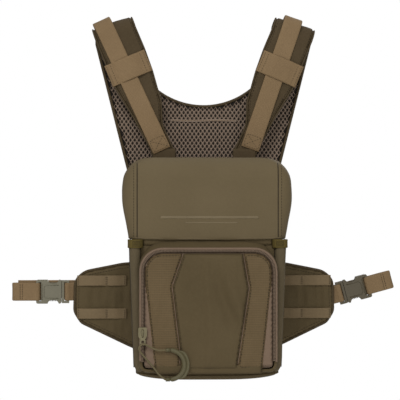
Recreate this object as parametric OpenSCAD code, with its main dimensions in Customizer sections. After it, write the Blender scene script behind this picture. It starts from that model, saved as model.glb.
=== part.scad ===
// Binocular harness pack: a chest pack with a moulded flip-forward lid, a zipped front pocket,
// two hip wings with side-release buckles, and a shoulder harness that folds over into a mesh yoke.
// X points to the viewer's right, Y towards the wearer and Z up.
// The origin is the centre of the chest pad's rear face.

/* [Pack body] */
// Outer width of the compartment at its rim
pack_w = 159; // [150:1:166]
// Outer width of the compartment at its base
pack_base_w = 152; // [140:1:156]
// Depth of the compartment's base below the origin
pack_drop = 112; // [108:1:125]
// Depth of the compartment, front to back
pack_depth = 76; // [60:1:95]
// Thickness of the padded walls
wall = 4; // [3:0.5:6]
// Width of the chest pad
chest_pad_w = 104; // [80:1:112]
// Thickness of the chest pad
chest_pad_t = 8; // [7:0.5:12]
// Width of the padded welt down each front corner
welt_w = 9.5; // [6:0.5:11]

/* [Lid] */
// Clearance between the lid and the compartment, on each side
lid_fit = 2; // [1:0.5:4]
// How far the lid's sides bulge beyond its lower edge
lid_bulge = 5; // [3:0.5:10]
// Height of the lid's top above the origin
lid_top = 121; // [119:1:135]
// Height of the lid's lower edge above the origin
lid_bottom = 36; // [34:1:60]
// Thickness of the moulded lid
lid_wall = 2.5; // [2:0.25:3]
// Radius of the lid's upper corners
lid_corner = 28; // [10:1:34]
// How far the compartment's rim sits below the lid's top
rim_drop = 18; // [17:1:30]

/* [Front pocket] */
// Margin between the front pocket and the compartment's sides
pocket_margin = 8; // [7:0.5:14]
// Height of the front pocket's top above the origin
pocket_top = 26; // [10:1:28]
// Depth of the front pocket's lower edge below the origin
pocket_drop = 103; // [90:1:105]
// How far the front pocket stands out
pocket_depth = 20; // [14:1:30]
// Radius of the front pocket's upper corners
pocket_corner = 24; // [12:1:30]
// Margin between the pocket's outline and the zipped panel at its top
panel_top_margin = 5.5; // [5.5:0.5:15]
// Margin between the pocket's outline and the zipped panel at its foot
panel_foot_margin = 15; // [8:0.5:20]

/* [Zipper and pull] */
// Width of the zipper's coil
coil_w = 1.8; // [1.4:0.2:2.4]
// Height of the slider above the pocket's lower edge
slider_rise = 41; // [38:1:60]
// Radius of the pull grip, to the middle of its tube
grip_r = 15.3; // [13:0.1:15.6]
// Thickness of the pull grip's tube
grip_d = 4.8; // [4:0.2:5]

/* [Straps] */
// Width of the strap webbing
web_w = 20; // [16:1:22]
// Thickness of the webbing
web_t = 1.8; // [1.2:0.2:2]
// Thickness of the padded straps and of the yoke
strap_t = 4.5; // [3:0.5:5]
// Length of the keeper band across each strap
keeper_l = 47; // [40:1:52]
// Width of the keeper band
keeper_w = 25; // [16:1:30]

/* [Yoke] */
// Half width of the yoke at its waist
yoke_waist = 60; // [48:1:62]
// Depth of the yoke's lower edge below the origin
yoke_drop = 62; // [40:1:80]
// Thickness of the spacer mesh
mesh_t = 2; // [1:0.5:3]

/* [Hip wings] */
// Distance from the middle to each wing's end
wing_reach = 142; // [130:1:150]
// Thickness of the padded wings
wing_t = 5; // [3:0.5:5]
// Height of each webbing band on a wing
band_h = 11; // [8:1:16]

/* [Buckles] */
// Wall of the buckle socket beside the webbing
socket_wall = 3; // [2.5:0.5:5]
// Length of the buckle socket
socket_l = 27.5; // [26:0.5:34]
// Thickness of the buckle socket
socket_t = 8; // [7:0.5:9]
// Tilt of the right buckle from level
right_tilt = 15; // [0:1:20]

/* [Hidden] */
$fn = 64;
gap = 0.4;              // clearance between pieces that move past each other
lay = 0.2;              // clearance between layers sewn on top of each other
through = 50;           // reach of a cutting tool past both faces

// Depths, counted from the chest pad's rear face towards the front
panel_y = -chest_pad_t;                     // rear face of the chest panel
inner_y = panel_y - wall;                   // rear end of the compartment's inside
front_y = panel_y - pack_depth;             // front face of the compartment
welt_y = front_y - 7;                       // front face of the corner welts
zip_y = front_y - pocket_depth + 3;         // rear face of the zipper tape
tape_t = 2;
coil_y = zip_y - 3.6;                       // front face of the zipper coil
lid_front = front_y - 1 - lid_wall;
lid_rear = panel_y - 2;

// Widths and heights that follow from what fits on what
lid_base_w = pack_w + 2 * (lid_wall + lid_fit);
lid_w = lid_base_w + 2 * lid_bulge;
pack_top = lid_top - rim_drop;              // height of the compartment's rim
pocket_w = pack_w - 2 * pocket_margin;
panel_top_w = pocket_w - 2 * panel_top_margin;
panel_foot_w = pocket_w - 2 * panel_foot_margin;
socket_h = web_w + 2 * socket_wall;

// Colours
olive = "#67583f";
brown = "#54493a";
tan = "#836c50";
ripstop = "#64543b";
tape_brown = "#6c5a4a";
mesh_grey = "#706154";
polymer = "#706c5a";
dark_olive = "#5c501e";

// One corner's arc, from the tangent point on the side before it to the one after it
function arc(p, before, after, r, n = 8) =
    let (
        u = (before - p) / norm(before - p),
        v = (after - p) / norm(after - p),
        half = acos(u * v) / 2,
        centre = p + (u + v) / norm(u + v) * r / sin(half),
        start = p + u * r / tan(half) - centre,
        end = p + v * r / tan(half) - centre,
        a0 = atan2(start[1], start[0]),
        turn = atan2(end[1], end[0]) - a0,
        sweep = turn > 180 ? turn - 360 : turn < -180 ? turn + 360 : turn
    )
    r == 0 ? [p] : [for (i = [0:n]) centre + r * [cos(a0 + sweep * i / n), sin(a0 + sweep * i / n)]];

// A closed outline with each corner rounded to its own radius; corners are [x, z, radius]
function rounded(c) = [
    for (i = [0:len(c) - 1])
        let (
            before = c[(i + len(c) - 1) % len(c)],
            after = c[(i + 1) % len(c)]
        )
        each arc([c[i][0], c[i][1]], [before[0], before[1]], [after[0], after[1]], c[i][2])
];

// The same corners with their mirror images, for a shape that is symmetric about the middle
function both_sides(c) = concat(c, [for (i = [len(c) - 1:-1:0]) [-c[i][0], c[i][1], c[i][2]]]);

// Stands a flat outline up, facing front, between two depths
module standing(y_front, y_rear) {
    translate([0, y_rear, 0]) rotate([90, 0, 0]) linear_extrude(y_rear - y_front) children();
}

module plate(corners, y_front, y_rear) {
    standing(y_front, y_rear) polygon(rounded(corners));
}

module block(x, y, z) {
    translate([x[0], y[0], z[0]]) cube([x[1] - x[0], y[1] - y[0], z[1] - z[0]]);
}

// Models are drawn for the right-hand side and mirrored for the left
module on_side(side) {
    if (side < 0) mirror([1, 0, 0]) children();
    else children();
}

// ---------------------------------------------------------------- pack body

function half_width(z) =
    pack_base_w / 2 + (pack_w - pack_base_w) / 2
        * min(1, (z + pack_drop) / (lid_bottom + pack_drop));

// The compartment's outline, inset by a distance on the sides and the base
function body_corners(inset, r) = both_sides([
    [half_width(lid_bottom) - inset, pack_top, 0],
    [half_width(lid_bottom) - inset, lid_bottom, 0],
    [half_width(-pack_drop) - inset, -pack_drop + inset, r]
]);

module chest_pad() {
    color(mesh_grey) plate(both_sides([
        [chest_pad_w / 2, pack_top - 7, 14],
        [chest_pad_w / 2, 12 - pack_drop, 14]
    ]), panel_y, 0);
}

module chest_panel() {
    color(brown) plate(body_corners(0, 0), inner_y, panel_y);
}

module side_wall(side) {
    color(brown) on_side(side) plate([
        [half_width(lid_bottom), pack_top, 0],
        [half_width(lid_bottom) - wall, pack_top, 0],
        [half_width(lid_bottom) - wall, lid_bottom, 0],
        [half_width(-pack_drop) - wall, -pack_drop, 0],
        [half_width(-pack_drop), -pack_drop, 0],
        [half_width(lid_bottom), lid_bottom, 0]
    ], front_y, inner_y);
}

module base_panel() {
    base_half = half_width(-pack_drop) - wall;
    color(brown) block([-base_half, base_half], [front_y, inner_y], [-pack_drop, -pack_drop + wall]);
}

module front_wall() {
    color(olive) plate(body_corners(wall, 0), front_y, front_y + wall);
}

module edge_welt(side) {
    foot = -pack_drop + 7;
    color(tape_brown) difference() {
        on_side(side) plate([
            [half_width(lid_bottom) + 1, lid_bottom - 3, 2],
            [half_width(lid_bottom) + 1 - welt_w, lid_bottom - 3, 2],
            [half_width(foot) - 1 - welt_w + 2, foot, 3],
            [half_width(foot) - 1, foot, 4]
        ], welt_y, front_y);
        plate(pocket_corners(-lay), welt_y - 1, front_y + 1);
    }
}

module corner_tab(side) {
    color(dark_olive) on_side(side) plate([
        [half_width(lid_bottom) + 1.5, lid_bottom - 1.5, 1],
        [half_width(lid_bottom) + 1 - welt_w - 1.5, lid_bottom - 1.5, 1],
        [half_width(lid_bottom) + 1 - welt_w - 1.5, lid_bottom - 10, 1],
        [half_width(lid_bottom) + 1.5, lid_bottom - 10, 1]
    ], welt_y - web_t, welt_y);
}

module strap_anchor(side) {
    color(brown) on_side(side)
        block([strap_foot_in, strap_foot_out], [panel_y, panel_y + 4.8], [pack_top - 6, strap_foot - 2.5]);
}

// ---------------------------------------------------------------- lid

lid_bulge_z = (lid_top + lid_bottom) / 2;

function lid_corners(inset) = both_sides([
    [lid_w / 2 - 2 - inset, lid_top - inset, lid_corner - inset],
    [lid_w / 2 + 1 - inset, lid_bulge_z, 40],
    [lid_base_w / 2 - inset, lid_bottom - (inset > 0 ? through : 0), 0]
]);

// The lid's front and side outlines cut each other, so its edges stay rounded both ways
module lid_form(inset) {
    top = lid_top - inset;
    front = lid_front + inset;
    rear = lid_rear + (inset > 0 ? through : 0);
    foot = lid_bottom - (inset > 0 ? through : 0);
    intersection() {
        plate(lid_corners(inset), front, rear);
        rotate([90, 0, 90]) translate([0, 0, -lid_w]) linear_extrude(2 * lid_w) polygon(rounded([
            [front, foot, 0],
            [front, top, 22 - inset],
            [rear, top, inset > 0 ? 0 : 5],
            [rear, foot, 0]
        ]));
    }
}

module lid_shell() {
    color(olive) difference() {
        lid_form(0);
        lid_form(lid_wall);
    }
}

module lid_liner() {
    liner_half = lid_w / 2 - lid_corner - 8;
    color(brown) block(
        [-liner_half, liner_half],
        [lid_front + 26, lid_rear - 6],
        [lid_top - lid_wall - 1.5, lid_top - lid_wall]
    );
}

// ---------------------------------------------------------------- front pocket and zipper

pocket_foot = -pocket_drop;
flap_foot = pocket_foot + 3;                // lower edge of the opening panel, at its seam
zip_end = pocket_foot + 10;                 // lower ends of the zipper
tape_w = 2.2;                               // width of the outer tape
coil_in = tape_w + coil_w;                  // inner edge of the coil, from the pocket's outline

function pocket_corners(inset) = both_sides([
    [pocket_w / 2 - inset, pocket_top - inset, pocket_corner - inset],
    [pocket_w / 2 - inset, pocket_foot + inset, 8 - min(inset, 5)]
]);

// A band that follows the pocket's outline, between two insets
module pocket_band(outer, inner, y_front, y_rear) {
    difference() {
        plate(pocket_corners(outer), y_front, y_rear);
        plate(pocket_corners(inner), y_front - 1, y_rear + 1);
    }
}

// Keeps the part of a band that the zipper runs along, above its lower ends
module zipped(y_front, y_rear) {
    difference() {
        children();
        block([-pocket_w, pocket_w], [y_front - 1, y_rear + 1], [pocket_foot - 1, zip_end]);
    }
}

module pocket_gusset() {
    color(brown) pocket_band(0, 3, zip_y, front_y);
}

module zip_tape() {
    color(tape_brown) zipped(zip_y - tape_t, zip_y)
        pocket_band(0, tape_w, zip_y - tape_t, zip_y);
}

module zip_coil() {
    color(tape_brown) zipped(coil_y, zip_y) pocket_band(tape_w, coil_in, coil_y, zip_y - gap);
}

// The opening panel's outline: round above, narrower at its foot
function panel_corners(in) = both_sides([
    [panel_top_w / 2 - in, pocket_top - 5.6 - in, pocket_corner - 6],
    [panel_top_w / 2 - in, pocket_top - 36, 30],
    [panel_foot_w / 2 - in, flap_foot, 0]
]);

// Seams between the centre panel and the side panels, from the top down: [x, z]
seam_left = [[-26, through], [-26, 20], [-37.5, -14], [-29.5, -80], [-29.5, -pack_drop]];
seam_right = [[36, through], [36, 19], [42, -16], [27.5, -pack_drop]];

// Everything outside one seam, towards its own side
module beyond_seam(seam, side) {
    edge = side * pack_w;
    polygon(concat(seam, [[edge, -pack_drop], [edge, through]]));
}

module flap_side(side) {
    color(ripstop) standing(zip_y - tape_t - 1.2, zip_y) intersection() {
        polygon(rounded(panel_corners(0)));
        beyond_seam(side < 0 ? seam_left : seam_right, side);
    }
}

module flap_panel() {
    color(olive) standing(zip_y - tape_t - 2.8, zip_y) difference() {
        polygon(rounded(panel_corners(0)));
        beyond_seam(seam_left, -1);
        beyond_seam(seam_right, 1);
    }
}

module flap_tape() {
    color(tape_brown) difference() {
        plate(pocket_corners(coil_in + gap), zip_y - tape_t, zip_y);
        plate(panel_corners(0), zip_y - tape_t - 1, zip_y + 1);
        block([-pocket_w, pocket_w], [zip_y - through, zip_y + 1], [pocket_foot - 1, flap_foot]);
    }
}

// The slider rides in front of the coil; its ring hangs from its lower end
slider_x = -(pocket_w / 2 - tape_w - coil_w / 2);
slider_z = pocket_foot + slider_rise;
slider_y = coil_y - gap;

module zip_slider() {
    color(polymer) translate([slider_x, 0, slider_z]) {
        plate([[4.5, 6, 2], [4.5, -3, 3], [2.5, -6.5, 1.5], [-2.5, -6.5, 1.5], [-4.5, -3, 3],
            [-4.5, 6, 2]], slider_y - 1.3, slider_y);
        difference() {
            plate([[3, -6.5, 0], [3, -12.5, 2.5], [-3, -12.5, 2.5], [-3, -6.5, 0]],
                slider_y - 1.3, slider_y);
            standing(slider_y - 3, slider_y + 1) translate([0, -9]) circle(r = 1.5);
        }
    }
}

// The pull cord's own points, [x, y, z]: from the grip's upper end, past the slider's ring,
// to the grip's lower end
cord_d = 2;
cord_points = [
    [-40.6, -108.6, -79.2], [-44, -108.6, -79.2], [-48, -108.6, -79.4], [-52, -108.6, -79.6],
    [-56, -108.6, -78.3], [-60, -108.6, -76.4], [-63, -108.6, -74.6], [-66, -108.6, -73.2],
    [-69, -108.6, -73.4], [-71.5, -108.6, -75.3], [-72.3, -108.6, -78], [-71, -108.6, -81],
    [-68, -108.6, -84.6], [-64, -108.6, -89.2], [-60, -108.6, -94], [-56, -108.6, -98.8],
    [-52.4, -108.6, -103.6], [-48.4, -108.6, -107.4], [-44.6, -108.6, -109.8], [-40.6, -108.6, -109.8]
];

// The direction of the route at one point, from its neighbours
function heading(p, i) =
    let (d = p[min(i + 1, len(p) - 1)] - p[max(i - 1, 0)])
    d / norm(d);

// A round tube swept along points that lie in one upright plane facing front
module cord_tube(p, d, sides) {
    across = [0, 1, 0];
    rings = [
        for (i = [0:len(p) - 1])
            let (up = cross(across, heading(p, i)))
            for (k = [0:sides - 1])
                p[i] + d / 2 * (cos(360 * k / sides) * across + sin(360 * k / sides) * up)
    ];
    walls = [
        for (i = [0:len(p) - 2])
            for (k = [0:sides - 1])
                let (a = i * sides + k, b = i * sides + (k + 1) % sides)
                [a, b, b + sides, a + sides]
    ];
    polyhedron(rings, concat(
        [[for (k = [sides - 1:-1:0]) k]],
        walls,
        [[for (k = [0:sides - 1]) (len(p) - 1) * sides + k]]
    ));
}

module pull_cord() {
    color(polymer) cord_tube(cord_points, cord_d, 8);
}

grip_centre = [-40.6, -94.5];
grip_y = cord_points[0][1];

// A C-shaped moulded grip with a thin finger rib around its outside
module pull_grip() {
    rib_t = 1.6;
    color(polymer) translate([grip_centre[0], grip_y, grip_centre[1]]) {
        rotate([90, 0, 0]) rotate([0, 0, -90]) rotate_extrude(angle = 180)
            translate([grip_r, 0]) circle(d = grip_d, $fn = 24);
        rotate([90, 0, 0]) rotate([0, 0, -62]) rotate_extrude(angle = 124)
            translate([grip_r + grip_d / 2 - 0.4, -rib_t / 2]) square([4.2, rib_t]);
    }
}

// ---------------------------------------------------------------- shoulder straps

strap_front = panel_y + 1;                  // front face of the strap pads
strap_foot = lid_top + 4;                   // height of the strap pads' lower ends
strap_foot_in = 31;
strap_foot_out = 57;
fold_in = [76.1, 265.8];                    // inner end of the fold over the shoulder
fold_out = [118.6, 251.8];                  // outer end of the fold
fold_y = 6;                                 // depth of the fold's axis
fold_r = fold_y - strap_front;              // outer radius of the fold

// Half a ring over an axis in the upright plane, from one point to another. Its front leg is
// tucked into the layer that it continues, just inside that layer's edges.
tuck = 1.5;
shy = 0.2;

module fold(from, to, r_outer, r_inner) {
    run = to - from;
    translate([from[0], fold_y, from[1]]) rotate([0, -atan2(run[1], run[0]), 0])
        rotate([90, 0, 90]) translate([0, 0, shy]) linear_extrude(norm(run) - 2 * shy) {
            difference() {
                circle(r = r_outer);
                circle(r = r_inner);
                translate([-through, -2 * through]) square(2 * through);
            }
            translate([shy - r_outer, -tuck]) square([r_outer - r_inner - 2 * shy, tuck + shy]);
        }
}

module strap_pad(side) {
    color(brown) on_side(side) {
        plate([
            [fold_in[0], fold_in[1], 0], [fold_out[0], fold_out[1], 0], [98, 200, 60],
            [76, 164, 60], [strap_foot_out, strap_foot + 4, 8], [strap_foot_out, strap_foot, 0],
            [strap_foot_in, strap_foot, 0], [46.5, 158, 30], [47.5, 185, 30], [52, 199, 20],
            [57, 217, 60], [66, 242, 60]
        ], strap_front, strap_front + strap_t);
        fold(fold_in, fold_out, fold_r, fold_r - strap_t);
    }
}

// Where the webbing on each strap runs: foot and top of its middle line, [x, z]
web_left = [[46.4, strap_foot + 5], [107.2, 260.3]];
web_right = [[50.1, strap_foot + 7], [95, 263.5]];

// Moves a shape drawn along +X so that it runs from one point towards another
module along(from, to) {
    run = to - from;
    translate([from[0], 0, from[1]]) rotate([0, -atan2(run[1], run[0]), 0]) children();
}

module strap_web(side) {
    line = side < 0 ? web_left : web_right;
    run = line[1] - line[0];
    across = [run[1], -run[0]] / norm(run) * web_w / 2;
    color(tan) on_side(side) {
        along(line[0], line[1])
            block([0, norm(run) - tuck / 3], [strap_front - lay - web_t, strap_front - lay],
                [-web_w / 2, web_w / 2]);
        fold(line[1] - across, line[1] + across, fold_r + lay + web_t, fold_r + lay);
    }
}

keeper_mid = [83, 220];
keeper_tilt = 23;

module keeper(side) {
    rear = strap_front;
    tunnel = web_t + 2 * lay;
    color(tan) on_side(side) translate([keeper_mid[0], 0, keeper_mid[1]]) rotate([0, keeper_tilt, 0])
        difference() {
            block([-keeper_l / 2, keeper_l / 2], [rear - tunnel - web_t, rear],
                [-keeper_w / 2, keeper_w / 2]);
            block([-keeper_l / 2 + 6, keeper_l / 2 - 6], [rear - tunnel, rear + 1],
                [-keeper_w, keeper_w]);
        }
}

// ---------------------------------------------------------------- yoke

yoke_front = fold_y + fold_r - strap_t + lay;   // front face of the yoke's panel
yoke_rear = fold_y + fold_r;
neck_z = 264;                               // centre of the neckline's arc
neck_r = 82;
binding_w = 2.5;
yoke_gap = 1;                               // clearance below the shoulder fold

module yoke_outline() {
    difference() {
        polygon(rounded([
            [fold_in[0], fold_in[1] - yoke_gap, 0], [fold_out[0], fold_out[1] - yoke_gap, 0],
            [84, 113, 60], [yoke_waist, 20, 60], [yoke_waist, -yoke_drop + 12, 6],
            [yoke_waist - 20, -yoke_drop, 12], [20 - yoke_waist, -yoke_drop, 12],
            [-yoke_waist, -yoke_drop + 12, 6], [-yoke_waist, 20, 60], [-84, 113, 60],
            [-fold_out[0], fold_out[1] - yoke_gap, 0], [-fold_in[0], fold_in[1] - yoke_gap, 0],
            [-66, 242, 60], [-57, 217, 60], [-50, 199, 0], [50, 199, 0], [57, 217, 60],
            [66, 242, 60]
        ]));
        translate([0, neck_z]) circle(r = neck_r + binding_w);
    }
}

module yoke_panel() {
    color(brown) standing(yoke_front, yoke_rear) yoke_outline();
}

module yoke_mesh() {
    color(mesh_grey) standing(yoke_front - mesh_t, yoke_front) yoke_outline();
}

module yoke_binding() {
    color(brown) standing(yoke_front - mesh_t, yoke_rear) intersection() {
        difference() {
            translate([0, neck_z]) circle(r = neck_r + binding_w);
            translate([0, neck_z]) circle(r = neck_r);
        }
        translate([-49, 180]) square([98, 24]);
    }
}

module yoke_seam() {
    seam_y = yoke_front - mesh_t;
    color(ripstop) block([-37, 37], [seam_y - 0.6, seam_y], [162.5, 165.5]);
}

module hang_loop() {
    color(tan) difference() {
        block([-8, 8], [yoke_rear, yoke_rear + 9], [150, 175]);
        block([-9, 9], [yoke_rear - 1, yoke_rear + 9 - web_t], [153, 172]);
    }
}

// A sleeve across the yoke's foot that the hip belt threads through
sleeve_z = -26;

module belt_sleeve() {
    sleeve_t = 1.6;
    sleeve_half = yoke_waist - 6;
    color(brown) difference() {
        block([-sleeve_half, sleeve_half], [yoke_rear, yoke_rear + 7], [sleeve_z - 17, sleeve_z + 17]);
        block([-sleeve_half - 1, sleeve_half + 1], [yoke_rear - 1, yoke_rear + 7 - sleeve_t],
            [sleeve_z - 12, sleeve_z + 12]);
    }
}

// ---------------------------------------------------------------- hip wings

wing_front = panel_y + 1;
wing_rear = wing_front + wing_t;
wing_root = chest_pad_w / 2 + 10;           // the wings' inner edges, where they fold

module wing_pad(side) {
    color(brown) on_side(side) plate([
        [wing_root, 8, 0], [90, 5.6, 30], [wing_reach - 11, -2.5, 20], [wing_reach - 1, -12, 14],
        [wing_reach, -46, 12], [wing_reach - 7.5, -58, 10], [84, -82.3, 20], [wing_root, -92, 0]
    ], wing_front, wing_rear);
}

// Two webbing bands, each sewn down at both ends and at a line between
band_in = pack_w / 2 + 8.5;                 // clear of the compartment's sides
band_mid = band_in + 19;
upper_band = -12.2;
lower_band = -48.2;

module wing_bands(side) {
    color(tan) on_side(side) for (z = [upper_band, lower_band]) difference() {
        block([band_in, wing_reach - 3], [wing_front - web_t - 1, wing_front],
            [z - band_h / 2, z + band_h / 2]);
        for (x = [[band_in + 3, band_mid - 1], [band_mid + 1, wing_reach - 6]])
            block(x, [wing_front - 1, wing_front + 1], [z - band_h, z + band_h]);
    }
}

// ---------------------------------------------------------------- belt webbing and buckles

buckle_y = wing_rear + 1;                   // middle plane of the buckle
left_z = -24.5;
right_z = -29;

// Buckles are drawn along +X from the wing's end, then turned onto their side's line
module at_buckle(side) {
    on_side(side) translate([wing_reach, buckle_y, side < 0 ? left_z : right_z])
        rotate([0, side < 0 ? 0 : -right_tilt, 0]) children();
}

plug_base = 6;                              // start of the plug's base, from the wing's end
plug_base_l = 8;
tongue_l = 16;
mouth = plug_base + plug_base_l + gap;      // start of the socket
pocket_h = socket_h - 5.2;                  // height inside the socket
pocket_t = 4;                               // thickness inside the socket
web_half = web_w / 2;

module belt_web(side) {
    color(tan) at_buckle(side) block([-24, plug_base], [-1, -1 + web_t], [-web_half, web_half]);
}

module buckle_plug(side) {
    base_end = plug_base + plug_base_l;
    color(polymer) at_buckle(side) {
        difference() {
            block([plug_base, base_end], [-3, 3], [-web_half - 2.5, web_half + 2.5]);
            block([plug_base + 2.5, base_end - 2.5], [-through, through],
                [-web_half - 0.3, web_half + 0.3]);
        }
        block([base_end, base_end + tongue_l], [-1.5, 1.5], [-2.8, 2.8]);
    }
}

latch_root = mouth + 0.6;                   // the latch arms' flexing point
latch_t = 4.6;

module latch(side, up) {
    color(polymer) at_buckle(side) translate([0, 0, up * (pocket_h / 2 - 3)]) plate([
        [latch_root - 0.6, latch_t / 2 - 0.4, 0], [latch_root + 5, latch_t / 2 - 0.4, 4],
        [latch_root + 16, latch_t / 2, 2], [latch_root + 16, -latch_t / 2, 2],
        [latch_root + 5, -latch_t / 2 + 0.4, 4], [latch_root - 0.6, -latch_t / 2 + 0.4, 0]
    ], -1.6, 1.6);
}

module buckle_socket(side) {
    web_slot = mouth + socket_l - 5.5;
    color(polymer) at_buckle(side) difference() {
        plate(rounded_box([mouth, mouth + socket_l], [-socket_h / 2, socket_h / 2], 2),
            -socket_t / 2, socket_t / 2);
        block([mouth - 1, web_slot - 3], [-pocket_t / 2, pocket_t / 2], [-pocket_h / 2, pocket_h / 2]);
        block([web_slot, web_slot + 3], [-through, through], [-web_half - 0.4, web_half + 0.4]);
        for (up = [-1, 1])
            translate([mouth + 9, 0, up * (socket_h / 2 + 2)])
                rotate([90, 0, 0]) cylinder(r = 6.5, h = 2 * socket_t, center = true);
    }
}

function rounded_box(x, z, r) = [[x[0], z[0], r], [x[1], z[0], r], [x[1], z[1], r], [x[0], z[1], r]];

belt_start = mouth + socket_l;
belt_end = 64;                              // middle of the belt webbing's fold
belt_front = -3;                            // front face of the webbing, from the buckle's middle
belt_fold_r = 4.6;

module belt_loop(side) {
    centre = belt_front + belt_fold_r;
    color(tan) at_buckle(side) {
        block([belt_start, belt_end], [belt_front, belt_front + web_t], [-web_half, web_half]);
        translate([belt_end, centre, -web_half]) linear_extrude(web_w) difference() {
            circle(r = belt_fold_r);
            circle(r = belt_fold_r - web_t);
            translate([-2 * through, -through]) square(2 * through);
        }
    }
}

// The belt runs back behind the buckle and the wing towards the yoke's sleeve
module rear_web(side) {
    rear = belt_front + 2 * belt_fold_r;
    rise = side < 0 ? 2.5 : 0;
    color(tan) at_buckle(side)
        block([-76, belt_end], [rear - web_t, rear], [rise - web_half, rise + web_half]);
}

chest_pad();
chest_panel();
side_wall(-1);  // side_wall_left
side_wall(1);  // side_wall_right
base_panel();
front_wall();
edge_welt(-1);  // edge_welt_left
edge_welt(1);  // edge_welt_right
corner_tab(-1);  // corner_tab_left
corner_tab(1);  // corner_tab_right
strap_anchor(-1);  // strap_anchor_left
strap_anchor(1);  // strap_anchor_right
pocket_gusset();
zip_tape();
zip_coil();
lid_shell();
lid_liner();
flap_panel();
flap_side(-1);  // flap_side_left
flap_side(1);  // flap_side_right
flap_tape();
zip_slider();
pull_cord();
pull_grip();
strap_pad(-1);  // strap_pad_left
strap_pad(1);  // strap_pad_right
strap_web(-1);  // strap_web_left
strap_web(1);  // strap_web_right
keeper(-1);  // keeper_left
keeper(1);  // keeper_right
yoke_panel();
yoke_mesh();
yoke_binding();
yoke_seam();
hang_loop();
belt_sleeve();
wing_pad(-1);  // wing_pad_left
wing_pad(1);  // wing_pad_right
wing_bands(-1);  // wing_bands_left
wing_bands(1);  // wing_bands_right
belt_web(-1);  // belt_web_left
belt_web(1);  // belt_web_right
buckle_plug(-1);  // buckle_plug_left
buckle_plug(1);  // buckle_plug_right
latch(-1, 1);  // latch_upper_left
latch(-1, -1);  // latch_lower_left
latch(1, 1);  // latch_upper_right
latch(1, -1);  // latch_lower_right
buckle_socket(-1);  // buckle_socket_left
buckle_socket(1);  // buckle_socket_right
belt_loop(-1);  // belt_loop_left
belt_loop(1);  // belt_loop_right
rear_web(-1);  // rear_web_left
rear_web(1);  // rear_web_right
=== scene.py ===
"""The looks of a binocular harness pack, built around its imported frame.

Shapes are worked out in millimetres and turned into metres when a mesh is made. X points to the
viewer's right, Y towards the wearer and Z up.
"""

import math

import bmesh
import bpy
import numpy as np
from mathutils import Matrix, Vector, geometry, noise
from mathutils.bvhtree import BVHTree


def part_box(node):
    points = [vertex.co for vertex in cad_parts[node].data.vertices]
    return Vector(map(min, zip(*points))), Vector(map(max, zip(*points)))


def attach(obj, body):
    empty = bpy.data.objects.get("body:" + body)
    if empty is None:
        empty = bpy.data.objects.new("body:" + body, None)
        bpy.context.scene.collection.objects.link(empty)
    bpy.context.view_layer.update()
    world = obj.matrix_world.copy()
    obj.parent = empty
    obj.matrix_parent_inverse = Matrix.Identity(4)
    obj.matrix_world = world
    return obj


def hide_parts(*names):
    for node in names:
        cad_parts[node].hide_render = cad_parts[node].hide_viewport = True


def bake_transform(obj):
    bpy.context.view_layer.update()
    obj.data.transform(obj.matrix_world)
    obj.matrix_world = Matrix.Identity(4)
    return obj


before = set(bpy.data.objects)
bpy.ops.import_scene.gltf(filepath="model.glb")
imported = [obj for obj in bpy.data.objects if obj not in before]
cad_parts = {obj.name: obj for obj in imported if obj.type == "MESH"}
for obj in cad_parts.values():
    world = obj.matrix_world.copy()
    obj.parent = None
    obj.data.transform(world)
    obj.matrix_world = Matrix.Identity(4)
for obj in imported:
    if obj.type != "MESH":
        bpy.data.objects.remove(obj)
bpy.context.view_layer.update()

MM = 0.001
SIDES = ((-1, "left"), (1, "right"))


# ------------------------------------------------------------------ node groups and materials

def add(tree, kind, feeds=None, **settings):
    """A new shader node, with its settings, and its inputs fed with values or sockets."""
    made = tree.nodes.new(kind)
    for name, value in settings.items():
        setattr(made, name, value)
    for name, value in (feeds or {}).items():
        if isinstance(value, bpy.types.NodeSocket):
            tree.links.new(value, made.inputs[name])
        else:
            made.inputs[name].default_value = value
    return made


def maths(tree, operation, first, second=0.0, third=0.0):
    made = add(tree, "ShaderNodeMath", {0: first, 1: second, 2: third}, operation=operation)
    return made.outputs[0]


def new_group(name, inputs, outputs):
    """A shader node group with its sockets, and the nodes at its two ends."""
    tree = bpy.data.node_groups.new(name, "ShaderNodeTree")
    for label, kind, value in inputs:
        made = tree.interface.new_socket(label, in_out="INPUT", socket_type=kind)
        if value is not None:
            made.default_value = value
    for label, kind in outputs:
        tree.interface.new_socket(label, in_out="OUTPUT", socket_type=kind)
    return tree, tree.nodes.new("NodeGroupInput"), tree.nodes.new("NodeGroupOutput")


PLACE = ("Place", "NodeSocketVector", None)
RELIEF = [("Height", "NodeSocketFloat"), ("Shade", "NodeSocketFloat")]


def plain_weave():
    """Threads that pass over and under each other."""
    tree, start, end = new_group(
        "plain weave",
        [PLACE, ("Pitch", "NodeSocketFloat", 0.001)],
        RELIEF,
    )
    split = add(tree, "ShaderNodeSeparateXYZ", {0: start.outputs["Place"]})
    turn = maths(tree, "DIVIDE", 2 * math.pi, start.outputs["Pitch"])
    warp = maths(tree, "SINE", maths(tree, "MULTIPLY", split.outputs[0], turn))
    weft = maths(tree, "SINE", maths(tree, "MULTIPLY", split.outputs[1], turn))
    over = maths(tree, "MULTIPLY", warp, weft)
    height = maths(tree, "MULTIPLY_ADD", over, 0.5, 0.5)
    tree.links.new(height, end.inputs["Height"])
    tree.links.new(height, end.inputs["Shade"])
    return tree


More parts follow.
